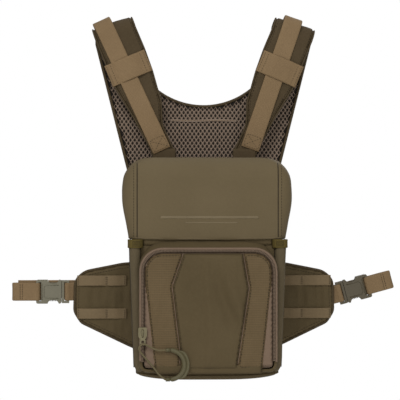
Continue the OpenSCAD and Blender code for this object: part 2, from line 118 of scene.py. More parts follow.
def ripstop_weave():
    """A fine weave with thicker threads at even steps, stronger one way than the other."""
    tree, start, end = new_group(
        "ripstop weave",
        [PLACE, ("Pitch", "NodeSocketFloat", 0.0024)],
        RELIEF,
    )
    split = add(tree, "ShaderNodeSeparateXYZ", {0: start.outputs["Place"]})
    lines = []
    for axis, strength in ((1, 1.0), (0, 0.45)):
        step = maths(tree, "DIVIDE", split.outputs[axis], start.outputs["Pitch"])
        wave = maths(tree, "SINE", maths(tree, "MULTIPLY", step, 2 * math.pi))
        ridge = maths(tree, "POWER", maths(tree, "MAXIMUM", wave, 0.0), 3.0)
        lines.append(maths(tree, "MULTIPLY", ridge, strength))
    both = maths(tree, "MAXIMUM", lines[0], lines[1])
    fine = add(tree, "ShaderNodeTexNoise", {"Vector": start.outputs["Place"], "Scale": 1500.0})
    height = maths(tree, "MULTIPLY_ADD", fine.outputs["Fac"], 0.35, both)
    tree.links.new(height, end.inputs["Height"])
    tree.links.new(both, end.inputs["Shade"])
    return tree


def webbing_rib():
    """Lengthwise ribs of a narrow webbing, crossed by its finer weft."""
    tree, start, end = new_group(
        "webbing rib",
        [PLACE, ("Pitch", "NodeSocketFloat", 0.0016)],
        RELIEF,
    )
    split = add(tree, "ShaderNodeSeparateXYZ", {0: start.outputs["Place"]})
    turn = maths(tree, "DIVIDE", 2 * math.pi, start.outputs["Pitch"])
    ribs = maths(tree, "SINE", maths(tree, "MULTIPLY", split.outputs[0], turn))
    phase = maths(tree, "MULTIPLY", ribs, 1.2)
    along = maths(tree, "MULTIPLY_ADD", split.outputs[1], turn, phase)
    weft = maths(tree, "SINE", along)
    height = maths(tree, "MULTIPLY_ADD", ribs, 0.3, maths(tree, "MULTIPLY_ADD", weft, 0.2, 0.5))
    tree.links.new(height, end.inputs["Height"])
    tree.links.new(height, end.inputs["Shade"])
    return tree


def pebble_grain():
    """The fine grain of moulded plastic, rubber or a coated cloth."""
    tree, start, end = new_group(
        "pebble grain",
        [PLACE, ("Pitch", "NodeSocketFloat", 0.001)],
        RELIEF,
    )
    scale = maths(tree, "DIVIDE", 1.0, start.outputs["Pitch"])
    cells = add(tree, "ShaderNodeTexVoronoi", {"Vector": start.outputs["Place"], "Scale": scale})
    soft = add(tree, "ShaderNodeTexNoise", {"Vector": start.outputs["Place"], "Scale": scale})
    height = maths(tree, "ADD", cells.outputs["Distance"], soft.outputs["Fac"])
    tree.links.new(height, end.inputs["Height"])
    tree.links.new(soft.outputs["Fac"], end.inputs["Shade"])
    return tree


def worn_tone():
    """A colour that drifts over the cloth, rubbed pale in patches, with its threads showing."""
    tree, start, end = new_group(
        "worn tone",
        [
            PLACE,
            ("Colour", "NodeSocketColor", None),
            ("Shade", "NodeSocketFloat", 0.5),
            ("Thread", "NodeSocketFloat", 0.2),
            ("Drift", "NodeSocketFloat", 0.15),
            ("Rough", "NodeSocketFloat", 0.8),
        ],
        [("Colour", "NodeSocketColor"), ("Rough", "NodeSocketFloat")],
    )
    place = start.outputs["Place"]
    wide = add(tree, "ShaderNodeTexNoise", {"Vector": place, "Scale": 22.0, "Detail": 3.0})
    specks = add(tree, "ShaderNodeTexNoise", {"Vector": place, "Scale": 420.0, "Detail": 2.0})
    mixed = maths(tree, "MULTIPLY_ADD", specks.outputs["Fac"], 0.5, wide.outputs["Fac"])
    drift = maths(tree, "MULTIPLY", maths(tree, "SUBTRACT", mixed, 0.75), start.outputs["Drift"])
    thread = maths(tree, "SUBTRACT", start.outputs["Shade"], 0.5)
    thread = maths(tree, "MULTIPLY", thread, start.outputs["Thread"])
    gain = maths(tree, "ADD", maths(tree, "MULTIPLY_ADD", drift, 2.0, 1.0), thread)
    shaded = add(
        tree,
        "ShaderNodeVectorMath",
        {0: start.outputs["Colour"]},
        operation="SCALE",
    )
    tree.links.new(gain, shaded.inputs["Scale"])
    rough = maths(tree, "MULTIPLY_ADD", drift, -1.2, start.outputs["Rough"])
    tree.links.new(shaded.outputs["Vector"], end.inputs["Colour"])
    tree.links.new(rough, end.inputs["Rough"])
    return tree


PATTERNS = {
    "weave": plain_weave(),
    "ripstop": ripstop_weave(),
    "rib": webbing_rib(),
    "grain": pebble_grain(),
}
TONE = worn_tone()


def linear(red, green, blue):
    """A colour of a maker's swatch, 0 to 255, as the shader's own numbers."""
    def one(value):
        value /= 255
        return value / 12.92 if value <= 0.04045 else ((value + 0.055) / 1.055) ** 2.4
    return (one(red), one(green), one(blue), 1.0)


def finish_of(name, swatch, pattern, pitch, depth, rough=0.85, sheen=0.25, thread=0.2,
              drift=0.15, creases=0.25, on_cloth=True, metallic=0.0):
    """A material: a pattern for its relief, a drifting tone for its colour, and soft creases."""
    made = bpy.data.materials.new(name)
    made.use_nodes = True
    tree = made.node_tree
    tree.nodes.clear()
    if on_cloth:
        place = add(tree, "ShaderNodeAttribute", attribute_name="lay").outputs["Vector"]
    else:
        place = add(tree, "ShaderNodeTexCoord").outputs["Object"]
    body = add(tree, "ShaderNodeTexCoord").outputs["Object"]
    relief = add(tree, "ShaderNodeGroup", node_tree=PATTERNS[pattern])
    tree.links.new(place, relief.inputs["Place"])
    relief.inputs["Pitch"].default_value = pitch * MM
    tone = add(tree, "ShaderNodeGroup", node_tree=TONE)
    tree.links.new(body, tone.inputs["Place"])
    tree.links.new(relief.outputs["Shade"], tone.inputs["Shade"])
    tone.inputs["Colour"].default_value = linear(*swatch)
    tone.inputs["Thread"].default_value = thread
    tone.inputs["Drift"].default_value = drift
    tone.inputs["Rough"].default_value = rough
    folds = add(tree, "ShaderNodeTexNoise", {"Vector": body, "Scale": 70.0, "Detail": 2.0})
    wide = add(tree, "ShaderNodeBump", {
        "Strength": creases, "Distance": 0.003, "Height": folds.outputs["Fac"],
    })
    fine = add(tree, "ShaderNodeBump", {
        "Strength": 0.8,
        "Distance": depth * MM,
        "Height": relief.outputs["Height"],
        "Normal": wide.outputs["Normal"],
    })
    skin = add(tree, "ShaderNodeBsdfPrincipled", {
        "Base Color": tone.outputs["Colour"],
        "Roughness": tone.outputs["Rough"],
        "Metallic": metallic,
        "Specular IOR Level": 0.3,
        "Sheen Weight": sheen * 0.4,
        "Sheen Roughness": 0.5,
        "Sheen Tint": linear(*swatch),
        "Normal": fine.outputs["Normal"],
    })
    out = add(tree, "ShaderNodeOutputMaterial")
    tree.links.new(skin.outputs[0], out.inputs["Surface"])
    return made


shell_cloth = finish_of("smooth shell cloth", (96, 83, 58), "grain", 0.9, 0.06, 0.78, 0.15,
                        thread=0.08, drift=0.08, creases=0.12)
shell_side = finish_of("shell side cloth", (98, 85, 61), "weave", 0.9, 0.08, 0.82, 0.2,
                       thread=0.12, drift=0.1, creases=0.15)
raised_print = finish_of("raised tonal print", (108, 95, 70), "grain", 0.8, 0.04, 0.6, 0.1)
pack_cloth = finish_of("pack nylon", (82, 69, 44), "weave", 1.0, 0.12, 0.8, 0.2)
rip_cloth = finish_of("ripstop nylon", (95, 78, 51), "ripstop", 2.4, 0.14, 0.75, 0.2, thread=0.3)
strap_cloth = finish_of("strap nylon", (70, 57, 36), "weave", 1.1, 0.14, 0.82, 0.25)
web_cloth = finish_of("tan webbing", (122, 100, 71), "rib", 1.6, 0.2, 0.8, 0.3, thread=0.14,
                      creases=0.15)
band_cloth = finish_of("brown webbing", (113, 96, 70), "rib", 1.5, 0.2, 0.8, 0.3, thread=0.22,
                       creases=0.15)
tape_cloth = finish_of("zipper tape", (114, 95, 78), "rib", 0.9, 0.12, 0.85, 0.3, thread=0.15,
                       creases=0.1)
welt_cloth = finish_of("welt cloth", (85, 74, 53), "weave", 0.8, 0.1, 0.8, 0.25)
tab_cloth = finish_of("olive tab", (84, 71, 30), "rib", 1.2, 0.2, 0.85, 0.2, thread=0.3)
mesh_yarn = finish_of("mesh yarn", (130, 113, 98), "weave", 0.7, 0.12, 0.7, 0.4, thread=0.25)
# Painted shade: the colour of strap nylon lying in shadow behind the yoke's mesh holes.
shade_backing_cloth = finish_of("painted shade backing", (34, 29, 24), "weave", 0.9, 0.1, 0.95, 0.1)
binding_cloth = finish_of("edge binding", (70, 58, 38), "rib", 1.0, 0.12, 0.85, 0.25)
lining_cloth = finish_of("lining", (82, 75, 58), "weave", 0.6, 0.05, 0.7, 0.15)
thread_yarn = finish_of("sewing thread", (82, 68, 48), "rib", 0.3, 0.05, 0.7, 0.0)
dark_thread = finish_of("dark thread", (42, 34, 23), "rib", 0.3, 0.05, 0.9, 0.0)
coil_plastic = finish_of("coil plastic", (106, 89, 73), "grain", 0.5, 0.03, 0.6, 0.0)
cord_yarn = finish_of("cord braid", (98, 88, 62), "rib", 0.7, 0.12, 0.75, 0.3, thread=0.35)
slider_paint = finish_of("slider paint", (112, 104, 78), "grain", 0.5, 0.03, 0.4, 0.0,
                         on_cloth=False, metallic=0.3)
grip_rubber = finish_of("grip rubber", (86, 80, 55), "grain", 0.6, 0.05, 0.5, 0.0,
                        creases=0.05, on_cloth=False)
pale_buckle = finish_of("pale buckle plastic", (110, 106, 89), "grain", 0.5, 0.04, 0.45, 0.0,
                        creases=0.03, drift=0.08, on_cloth=False)
dark_buckle = finish_of("dark buckle plastic", (80, 72, 54), "grain", 0.5, 0.04, 0.45, 0.0,
                        creases=0.03, drift=0.08, on_cloth=False)


# ------------------------------------------------------------------ outlines

def rounded(corners, steps=8):
    """A closed outline whose corners, [x, z, radius], are rounded."""
    outline = []
    for i, (x, z, radius) in enumerate(corners):
        here = np.array((x, z), float)
        if radius == 0:
            outline.append(here)
            continue
        before = np.array(corners[i - 1][:2], float) - here
        after = np.array(corners[(i + 1) % len(corners)][:2], float) - here
        before /= np.linalg.norm(before)
        after /= np.linalg.norm(after)
        half = math.acos(max(-1.0, min(1.0, float(before @ after)))) / 2
        middle = here + (before + after) / np.linalg.norm(before + after) * radius / math.sin(half)
        first = here + before * radius / math.tan(half) - middle
        last = here + after * radius / math.tan(half) - middle
        turn = math.atan2(first[0] * last[1] - first[1] * last[0], float(first @ last))
        for k in range(steps + 1):
            a = turn * k / steps
            spin = np.array(((math.cos(a), -math.sin(a)), (math.sin(a), math.cos(a))))
            outline.append(middle + spin @ first)
    return [tuple(p) for p in outline]


def outline_of(node, rear=False):
    """The outline of a CAD node's front or rear face, as (x, z) points in millimetres."""
    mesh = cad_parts[node].data
    places = [tuple(round(c / MM, 3) for c in v.co) for v in mesh.vertices]
    level = max(p[1] for p in places) if rear else min(p[1] for p in places)
    count = {}
    for face in mesh.polygons:
        ring = [places[i] for i in face.vertices]
        if all(abs(p[1] - level) < 0.01 for p in ring):
            for a, b in zip(ring, ring[1:] + ring[:1]):
                if (b, a) in count:
                    del count[(b, a)]
                else:
                    count[(a, b)] = True
    following = {a: b for a, b in count}
    loops = []
    while following:
        start = next(iter(following))
        loop = [start]
        step = following.pop(start)
        while step != start and step in following:
            loop.append(step)
            step = following.pop(step)
        loops.append([(p[0], p[2]) for p in loop])
    return max(loops, key=lambda loop: abs(area_of(loop)))


def area_of(loop):
    return sum(a[0] * b[1] - b[0] * a[1] for a, b in zip(loop, loop[1:] + loop[:1])) / 2


def spaced(path, step, closed=False, count=None):
    """Points an even distance apart along a path of any dimension."""
    points = np.array(list(path) + ([path[0]] if closed else []), float)
    lengths = np.linalg.norm(np.diff(points, axis=0), axis=1)
    reach = np.concatenate(([0], np.cumsum(lengths)))
    count = count or max(2, int(round(reach[-1] / step)))
    wanted = np.linspace(0, reach[-1], count + 1)
    if closed:
        wanted = wanted[:-1]
    return np.stack([np.interp(wanted, reach, points[:, k]) for k in range(points.shape[1])], 1)


def edge_distance(points, loop):
    """How far each point is from a closed outline."""
    a = np.array(loop, float)
    b = np.roll(a, -1, axis=0)
    best = np.full(len(points), 1e9)
    for start, end in zip(a, b):
        run = end - start
        share = np.clip(((points - start) @ run) / max(float(run @ run), 1e-12), 0, 1)
        gap = np.linalg.norm(points - start - share[:, None] * run, axis=1)
        best = np.minimum(best, gap)
    return best


def inside(points, loop):
    """Which points lie within a closed outline."""
    ring = np.array(loop, float)
    following = np.roll(ring, -1, axis=0)
    odd = np.zeros(len(points), bool)
    for (x0, z0), (x1, z1) in zip(ring, following):
        crosses = (z0 > points[:, 1]) != (z1 > points[:, 1])
        rise = z1 - z0 if z1 != z0 else 1e-12
        odd ^= crosses & (points[:, 0] < (x1 - x0) * (points[:, 1] - z0) / rise + x0)
    return odd


def offset(ring, distance):
    """A closed ring of (x, z) points moved inwards, point for point."""
    way = np.roll(ring, -1, axis=0) - np.roll(ring, 1, axis=0)
    way /= np.linalg.norm(way, axis=1)[:, None]
    side = np.stack((-way[:, 1], way[:, 0]), 1) * (1 if area_of(ring.tolist()) > 0 else -1)
    amount = distance if np.isscalar(distance) else np.array(distance)[:, None]
    return ring + side * amount


def inset(loop, distance, step=2.0):
    """The outline moved inwards by a distance, in evenly spaced points."""
    moved = offset(spaced(loop, step, closed=True), distance)
    keep = inside(moved, loop) & (edge_distance(moved, loop) > distance - 0.25)
    return moved[keep]


# ------------------------------------------------------------------ meshes

def piece(name, points, faces, material, body=None, lay=None, slot=None, replaces=(), fill=None):
    """A smooth mesh from points in millimetres. lay gives where each point is on its cloth."""
    mesh = bpy.data.meshes.new(name)
    places = np.array(points, float)
    mesh.from_pydata((places * MM).tolist(), [], faces)
    mesh.validate()
    mesh.update()
    mesh.polygons.foreach_set("use_smooth", [True] * len(mesh.polygons))
    flat = places[:, [0, 2, 1]] if lay is None else np.array(lay, float)
    if flat.shape[1] == 2:
        flat = np.column_stack((flat, np.zeros(len(flat))))
    mesh.attributes.new("lay", "FLOAT_VECTOR", "POINT")
    mesh.attributes["lay"].data.foreach_set("vector", (flat * MM).astype(np.float32).ravel())
    mesh.materials.append(material)
    made = bpy.data.objects.new(name, mesh)
    bpy.context.scene.collection.objects.link(made)
    if body:
        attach(made, body)
    if replaces:
        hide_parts(*replaces)
    return made


def no_relief(x, z, edge):
    return 0.0


def slab(name, loop, front, rear, material, step=3.0, lip=None, crown=0.0, crown_reach=20.0,
         relief=no_relief, rear_relief=no_relief, room=None, **facts):
    """A padded plate between two depths, with round edges, a crowned front and its own relief.

    room(x, z) gives the furthest forward that the front may stand.
    """
    ring = spaced(loop, step, closed=True)
    low, high = ring.min(0), ring.max(0)
    columns = np.arange(low[0] + step / 2, high[0], step)
    rows = np.arange(low[1] + step / 2, high[1], step)
    grid = np.array([(x + (k % 2) * step / 2, z) for k, z in enumerate(rows) for x in columns])
    clear = inside(grid, ring) & (edge_distance(grid, ring) > step * 0.55)
    flat = np.concatenate((ring, grid[clear]))
    count = len(ring)
    edges = [(i, (i + 1) % count) for i in range(count)]
    lay_flat, _, tris, _, _, _ = geometry.delaunay_2d_cdt(
        [Vector(p) for p in flat], edges, [], 1, 1e-4
    )
    flat = np.array([tuple(p) for p in lay_flat])
    edge = edge_distance(flat, ring)
    half = (rear - front) / 2
    lip = half if lip is None else lip
    swell = np.sqrt(np.clip(1 - (1 - np.clip(edge / lip, 0, 1)) ** 2, 0, 1))
    dome = crown * (1 - (1 - np.clip(edge / crown_reach, 0, 1)) ** 2)
    middle = (rear + front) / 2
    on_edge = edge < 1e-3
    front_points = []
    rear_points = []
    for (x, z), s, d, e in zip(flat, swell, dome, edge):
        fade = min(1.0, e / 4)
        y = middle - half * s - d - relief(x, z, e) * fade
        if room is not None:
            y = max(y, room(x, z))
        front_points.append((x, y, z))
        rear_points.append((x, middle + half * s + rear_relief(x, z, e) * fade, z))
    rear_index = {}
    points = list(front_points)
    for i, at_edge in enumerate(on_edge):
        if at_edge:
            rear_index[i] = i
        else:
            rear_index[i] = len(points)
            points.append(rear_points[i])
    faces = []
    for tri in tris:
        a, b, c = (Vector(flat[i]) for i in tri)
        turned = (b - a).cross(c - a) < 0
        order = tri[::-1] if turned else tri
        faces.append(tuple(order))
        faces.append(tuple(rear_index[i] for i in reversed(order)))
    return piece(name, points, faces, material, **facts)


def surface_of(made):
    """A finder of points on a piece's surface at rest."""
    verts = [made.matrix_world @ v.co for v in made.data.vertices]
    return BVHTree.FromPolygons(verts, [tuple(p.vertices) for p in made.data.polygons])


def facing(tree, x, z, from_rear=False):
    """The point and outward normal that one meets at (x, z), from the front or the rear."""
    way = Vector((0, -1, 0)) if from_rear else Vector((0, 1, 0))
    start = Vector((x * MM, 0.5 if from_rear else -0.5, z * MM))
    hit, normal, _, _ = tree.ray_cast(start, way)
    if hit is None:
        return None, None
    if normal.dot(way) > 0:
        normal = -normal
    return np.array(hit) / MM, np.array(normal)


def faced(tree, line, from_rear=False):
    """The points and normals that a line of (x, z) points meets, without the misses."""
    found = [facing(tree, x, z, from_rear) for x, z in line]
    return [p for p in found if p[0] is not None]


def unbroken(run, gap):
    """A run of surface points split wherever the next one lies further on than a gap."""
    parts = [[run[0]]]
    for a, b in zip(run, run[1:]):
        if np.linalg.norm(b[0] - a[0]) > gap:
            parts.append([])
        parts[-1].append(b)
    return parts


def tubes(name, paths, radius, material, sides=8, flatten=1.0, closed=False, swell=None, **facts):
    """Round or flattened tubes along points; flatten squeezes them in Y, swell changes the girth."""
    verts = []
    lay = []
    faces = []
    for path in paths:
        points = np.array(path, float)
        count = len(points)
        base = len(verts)
        reach = 0.0
        for i, here in enumerate(points):
            if closed:
                way = points[(i + 1) % count] - points[i - 1]
            else:
                way = points[min(i + 1, count - 1)] - points[max(i - 1, 0)]
            way = way / max(np.linalg.norm(way), 1e-9)
            across = np.cross(way, (0, 1, 0))
            if np.linalg.norm(across) < 1e-3:
                across = np.cross(way, (0, 0, 1))
            across /= np.linalg.norm(across)
            up = np.cross(across, way)
            if i:
                reach += float(np.linalg.norm(here - points[i - 1]))
            girth = radius * (swell(i / (count - 1)) if swell else 1.0)
            for k in range(sides):
                a = 2 * math.pi * k / sides
                verts.append(here + girth * (math.cos(a) * across + flatten * math.sin(a) * up))
                lay.append((radius * a, reach))
        for i in range(count if closed else count - 1):
            for k in range(sides):
                a, b = i * sides + k, i * sides + (k + 1) % sides
                c, d = (b + sides) % (count * sides), (a + sides) % (count * sides)
                faces.append((base + a, base + b, base + c, base + d))
        if not closed:
            faces.append(tuple(base + k for k in range(sides - 1, -1, -1)))
            faces.append(tuple(len(verts) - sides + k for k in range(sides)))
    return piece(name, verts, faces, material, lay=lay, **facts)


def round_ends(share):
    """Girth along a tube whose ends are rounded off."""
    near = min(share, 1 - share) * 12
    return math.sqrt(max(0.03, 1 - (1 - min(1.0, near)) ** 2))


def loft(name, rings, material, closed=True, wrap=False, **facts):
    """A skin over rings of points; wrap joins the last ring to the first."""
    rings = [np.array(ring, float) for ring in rings]
    size = len(rings[0])
    verts = [tuple(p) for ring in rings for p in ring]
    along = np.zeros(size)
    lay = []
    for i, ring in enumerate(rings):
        if i:
            along = along + np.linalg.norm(ring - rings[i - 1], axis=1)
        steps = np.linalg.norm(np.diff(ring, axis=0), axis=1)
        round_it = np.concatenate(([0], np.cumsum(steps)))
        lay += [(u, v) for u, v in zip(round_it, along)]
    faces = []
    for i in range(len(rings) if wrap else len(rings) - 1):
        after = (i + 1) % len(rings)
        for k in range(size if closed else size - 1):
            m = (k + 1) % size
            faces.append((i * size + k, i * size + m, after * size + m, after * size + k))
    if closed and not wrap:
        faces.append(tuple(range(size - 1, -1, -1)))
        faces.append(tuple((len(rings) - 1) * size + k for k in range(size)))
    made = piece(name, verts, faces, material, lay=lay, **facts)
    make_outward(made)
    return made


def make_outward(made):
    """Turns a closed mesh's faces to point outwards."""
    form = bmesh.new()
    form.from_mesh(made.data)
    bmesh.ops.recalc_face_normals(form, faces=form.faces)
    form.to_mesh(made.data)
    form.free()
    made.data.update()


def two_tone(made, second, chooses):
    """Gives a second material to the faces that chooses(centre in mm, normal) picks."""
    made.data.materials.append(second)
    for face in made.data.polygons:
        if chooses(np.array(face.center) / MM, face.normal):
            face.material_index = 1


def ribbon(name, path, across, width, thick, material, sway=0.25, **facts):
    """Webbing along a path of points, with thickened selvedges and a slight sway."""
    path = spaced(path, 2.5)
    across = np.array(across, float)
    across /= np.linalg.norm(across)
    shares = (-0.5, -0.47, -0.4, -0.2, 0.0, 0.2, 0.4, 0.47, 0.5)
    swell = (0.0, 0.85, 1.0, 0.86, 0.86, 0.86, 1.0, 0.85, 0.0)
    verts = []
    lay = []
    reach = 0.0
    ring_size = 2 * len(shares) - 2
    for i, here in enumerate(path):
        way = path[min(i + 1, len(path) - 1)] - path[max(i - 1, 0)]
        out = np.cross(way, across)
        out /= np.linalg.norm(out)
        if i:
            reach += float(np.linalg.norm(here - path[i - 1]))
        drift = sway * noise.noise(Vector((reach * 0.05, float(here[0]) * 0.01, 3.0)))
        front = [(s, h) for s, h in zip(shares, swell)]
        rear = [(s, -h) for s, h in reversed(front[1:-1])]
        for share, height in front + rear:
            cup = drift * (1 - 4 * share * share)
            verts.append(here + across * share * width + out * (height * thick / 2 + cup))
            lay.append((share * width, reach))
    faces = []
    for i in range(len(path) - 1):
        for k in range(ring_size):
            a, b = i * ring_size + k, i * ring_size + (k + 1) % ring_size
            faces.append((a, a + ring_size, b + ring_size, b))
    faces.append(tuple(range(ring_size)))
    faces.append(tuple(len(verts) - 1 - k for k in range(ring_size)))
    return piece(name, verts, faces, material, lay=lay, **facts)


def stitches(name, runs, material, body, slot, length=2.6, pitch=3.8, thick=0.55):
    """Sewing thread: one small spindle for each stitch. A run is a list of (point, normal)."""
    verts = []
    faces = []
    sides = 5
    for run in runs:
        if len(run) < 2:
            continue
        places = spaced([np.concatenate((p, n)) for p, n in run], pitch)
        for a, b in zip(places, places[1:]):
            way = b[:3] - a[:3]
            span = np.linalg.norm(way)
            if span < 1e-6 or span > 3 * pitch:
                continue
            way = way / span
            out = a[3:] / max(np.linalg.norm(a[3:]), 1e-9)
            side = np.cross(way, out)
            middle = (a[:3] + b[:3]) / 2
            base = len(verts)
            for share, girth in ((-0.5, 0.3), (-0.3, 1.0), (0.3, 1.0), (0.5, 0.3)):
                centre = middle + way * share * length + out * 0.12
                for k in range(sides):
                    angle = 2 * math.pi * k / sides
                    girdle = math.cos(angle) * side + 0.7 * math.sin(angle) * out
                    verts.append(centre + girdle * girth * thick / 2)
            for ring in range(3):
                for k in range(sides):
                    c = base + ring * sides + k
                    d = base + ring * sides + (k + 1) % sides
                    faces.append((c, d, d + sides, c + sides))
            faces.append(tuple(base + k for k in range(sides - 1, -1, -1)))
            faces.append(tuple(base + 3 * sides + k for k in range(sides)))
    return piece(name, verts, faces, material, body=body, slot=slot)


def run_on(tree, path, from_rear=False, step=2.0):
    """A stitch run laid on a surface along (x, z) points."""
    return faced(tree, spaced(path, step), from_rear)


def wrinkle(x, z, seed, length=30.0, stretch=2.5, turn=0.0):
    """Soft folds of cloth, longer one way than the other."""
    c, s = math.cos(turn), math.sin(turn)
    u = (x * c + z * s) / length
    v = (-x * s + z * c) / (length * stretch)
    return noise.noise(Vector((u, v, seed))) + 0.5 * noise.noise(Vector((2 * u, 2 * v, seed + 9)))


def box_mm(node):
    low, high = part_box(node)
    return np.array(low) / MM, np.array(high) / MM


# ------------------------------------------------------------------ camera, floor and light

def studio():
    scene = bpy.context.scene
    scene.view_settings.view_transform = "Standard"
    world = bpy.data.worlds.new("pale room")
    world.use_nodes = True
    tree = world.node_tree
    seen = tree.nodes.new("ShaderNodeLightPath").outputs["Is Camera Ray"]
    backdrop = tree.nodes["Background"]
    backdrop.inputs["Color"].default_value = (1, 1, 1, 1)
    tree.links.new(maths(tree, "MULTIPLY_ADD", seen, 0.6, 0.4), backdrop.inputs["Strength"])
    scene.world = world
    lens = bpy.data.cameras.new("camera")
    lens.lens = 147.3
    lens.sensor_width = 36
    camera = bpy.data.objects.new("camera", lens)
    camera.location = (-0.083, -1.8, 0.0759)
    aim = Vector((-0.0044, 0, 0.0759)) - camera.location
    camera.rotation_euler = aim.to_track_quat("-Z", "Y").to_euler()
    scene.collection.objects.link(camera)
    scene.camera = camera
    for name, place, size, power in (
        ("key light", (-0.6, -1.5, 1.2), 0.8, 17.2),
        ("front light", (0.5, -2.3, 0.25), 1.0, 11.4),
        ("top light", (0.3, 0.5, 1.7), 1.2, 7.0),
        ("back light", (0.9, 1.9, 0.8), 1.2, 16.0),
    ):
        lamp = bpy.data.lights.new(name, "AREA")
        lamp.energy = power
        lamp.size = size
        made = bpy.data.objects.new(name, lamp)
        made.location = place
        made.rotation_euler = (Vector((0, 0, 0.08)) - made.location).to_track_quat("-Z", "Y").to_euler()
        scene.collection.objects.link(made)
    mesh = bpy.data.meshes.new("floor")
    reach = 2.0
    corners = [(-reach, -reach), (reach, -reach), (reach, reach), (-reach, reach)]
    mesh.from_pydata([(x, y, -0.45) for x, y in corners], [], [(0, 1, 2, 3)])
    plain = bpy.data.materials.new("floor paint")
    plain.use_nodes = True
    plain.node_tree.nodes["Principled BSDF"].inputs["Base Color"].default_value = (0.8, 0.8, 0.79, 1)
    mesh.materials.append(plain)
    floor = bpy.data.objects.new("floor", mesh)
    scene.collection.objects.link(floor)


studio()


# ------------------------------------------------------------------ zipper pull: cord and grip

PULL_CORD = [
    (-40.6, -79.2), (-44, -79.2), (-48, -79.4), (-52, -79.6), (-56, -78.3), (-60, -76.4),
    (-63, -74.6), (-66, -73.2), (-69, -73.4), (-71.5, -75.3), (-72.3, -78), (-71, -81),
    (-68, -84.6), (-64, -89.2), (-60, -94), (-56, -98.8), (-52.4, -103.6), (-48.4, -107.4),
    (-44.6, -109.8), (-40.6, -109.8),
]
PULL_Y = -108.6
GRIP_MIDDLE = (-40.6, PULL_Y, -94.5)
GRIP_RADIUS = 15.3
CORD_WIDTH = 2.0


def pull():
    route = np.array([(x, PULL_Y, z) for x, z in PULL_CORD])
    smooth = spaced(route, 1.2)
    centre = np.array(GRIP_MIDDLE)
    arc = []
    for k in range(49):
        a = math.radians(90 - 180 * k / 48)
        arc.append(centre + GRIP_RADIUS * np.array((math.cos(a), 0, math.sin(a))))
    grip = tubes("pull_grip_moulding", [arc], 2.4, grip_rubber, sides=14, swell=round_ends,
                 body="pull", slot="grip", replaces=["pull_grip"])
    fin = ((2.0, 0.8), (4.6, 0.8), (5.4, 0.5), (5.4, -0.5), (4.6, -0.8), (2.0, -0.8))
    rings = []
    for k in range(41):
        a = math.radians(62 - 124 * k / 40)
        taper = min(1.0, min(k, 40 - k) / 7)
        out = np.array((math.cos(a), 0, math.sin(a)))
        rings.append([
            centre + out * (GRIP_RADIUS + 1.5 + (reach - 1.5) * taper) + np.array((0, half, 0))
            for reach, half in fin
        ])
    rib = loft("pull_grip_rib", rings, grip_rubber, body="pull", slot="grip")
    ends = []
    for z in (PULL_CORD[0][1], PULL_CORD[-1][1]):
        ends.append([(-44.6, PULL_Y, z), (-42.6, PULL_Y, z), (-40.2, PULL_Y, z)])
    collars = tubes("pull_cord_collars", ends, 1.9, grip_rubber, sides=12, body="pull", slot="grip")
    cord = tubes("pull_cord_braid", [smooth], CORD_WIDTH / 2, cord_yarn, sides=10, body="pull", slot="cord",
                 replaces=["pull_cord"])


pull()


# ------------------------------------------------------------------ pack body

BODY_HALF = -box_mm("side_wall_left")[0][0]
BODY_FOOT_HALF = box_mm("base_panel")[1][0] + 4
BODY_FRONT = box_mm("front_wall")[0][1]
BODY_REAR = box_mm("chest_panel")[1][1]
BODY_FOOT = box_mm("base_panel")[0][2]
RIM = box_mm("front_wall")[1][2]
LID_FOOT = box_mm("lid_shell")[0][2]


def body_half(z):
    share = min(1.0, (z - BODY_FOOT) / (LID_FOOT - BODY_FOOT))
    return BODY_FOOT_HALF + (BODY_HALF - BODY_FOOT_HALF) * share


def body_ring(z, inset, creased):
    """One level of the compartment's outside or inside."""
    half = body_half(z) - inset
    front = BODY_FRONT + inset
    rear = BODY_REAR - inset
    corner = max(2.0, 7 - inset)
    outline = rounded([(half, rear, 3), (half, front, corner), (-half, front, corner),
                       (-half, rear, 3)])
    ring = []
    for x, y in spaced(outline, 1, closed=True, count=168):
        if creased:
            side = min(1.0, max(0.0, (abs(x) - half + 4) / 4))
            front_share = min(1.0, max(0.0, (front + 4 - y) / 4))
            low = min(1.0, max(0.0, (30 - z) / 15))
            fold = wrinkle(y, z, 5.0 + math.copysign(2, x), length=22, stretch=1.8, turn=0.4)
            belly = 2.6 * max(0.0, math.sin(math.pi * min(1.0, (z - BODY_FOOT) / 140)))
            x += math.copysign(1, x) * side * (belly + (0.3 + 1.3 * low) * fold * 0.8)
            band = math.exp(-((z - 30) / 9) ** 2)
            y += front_share * band * 1.1 * wrinkle(x, z, 8.0, length=9, stretch=1.5, turn=-0.7)
        low = max(0.0, 1 - (z - BODY_FOOT) / 14)
        z_here = z + low * (4.5 * (abs(x) / half) ** 4 - 1.2)
        x *= 1 - 0.03 * low * (abs(x) / half) ** 2
        ring.append((x, y, z_here))
    return ring


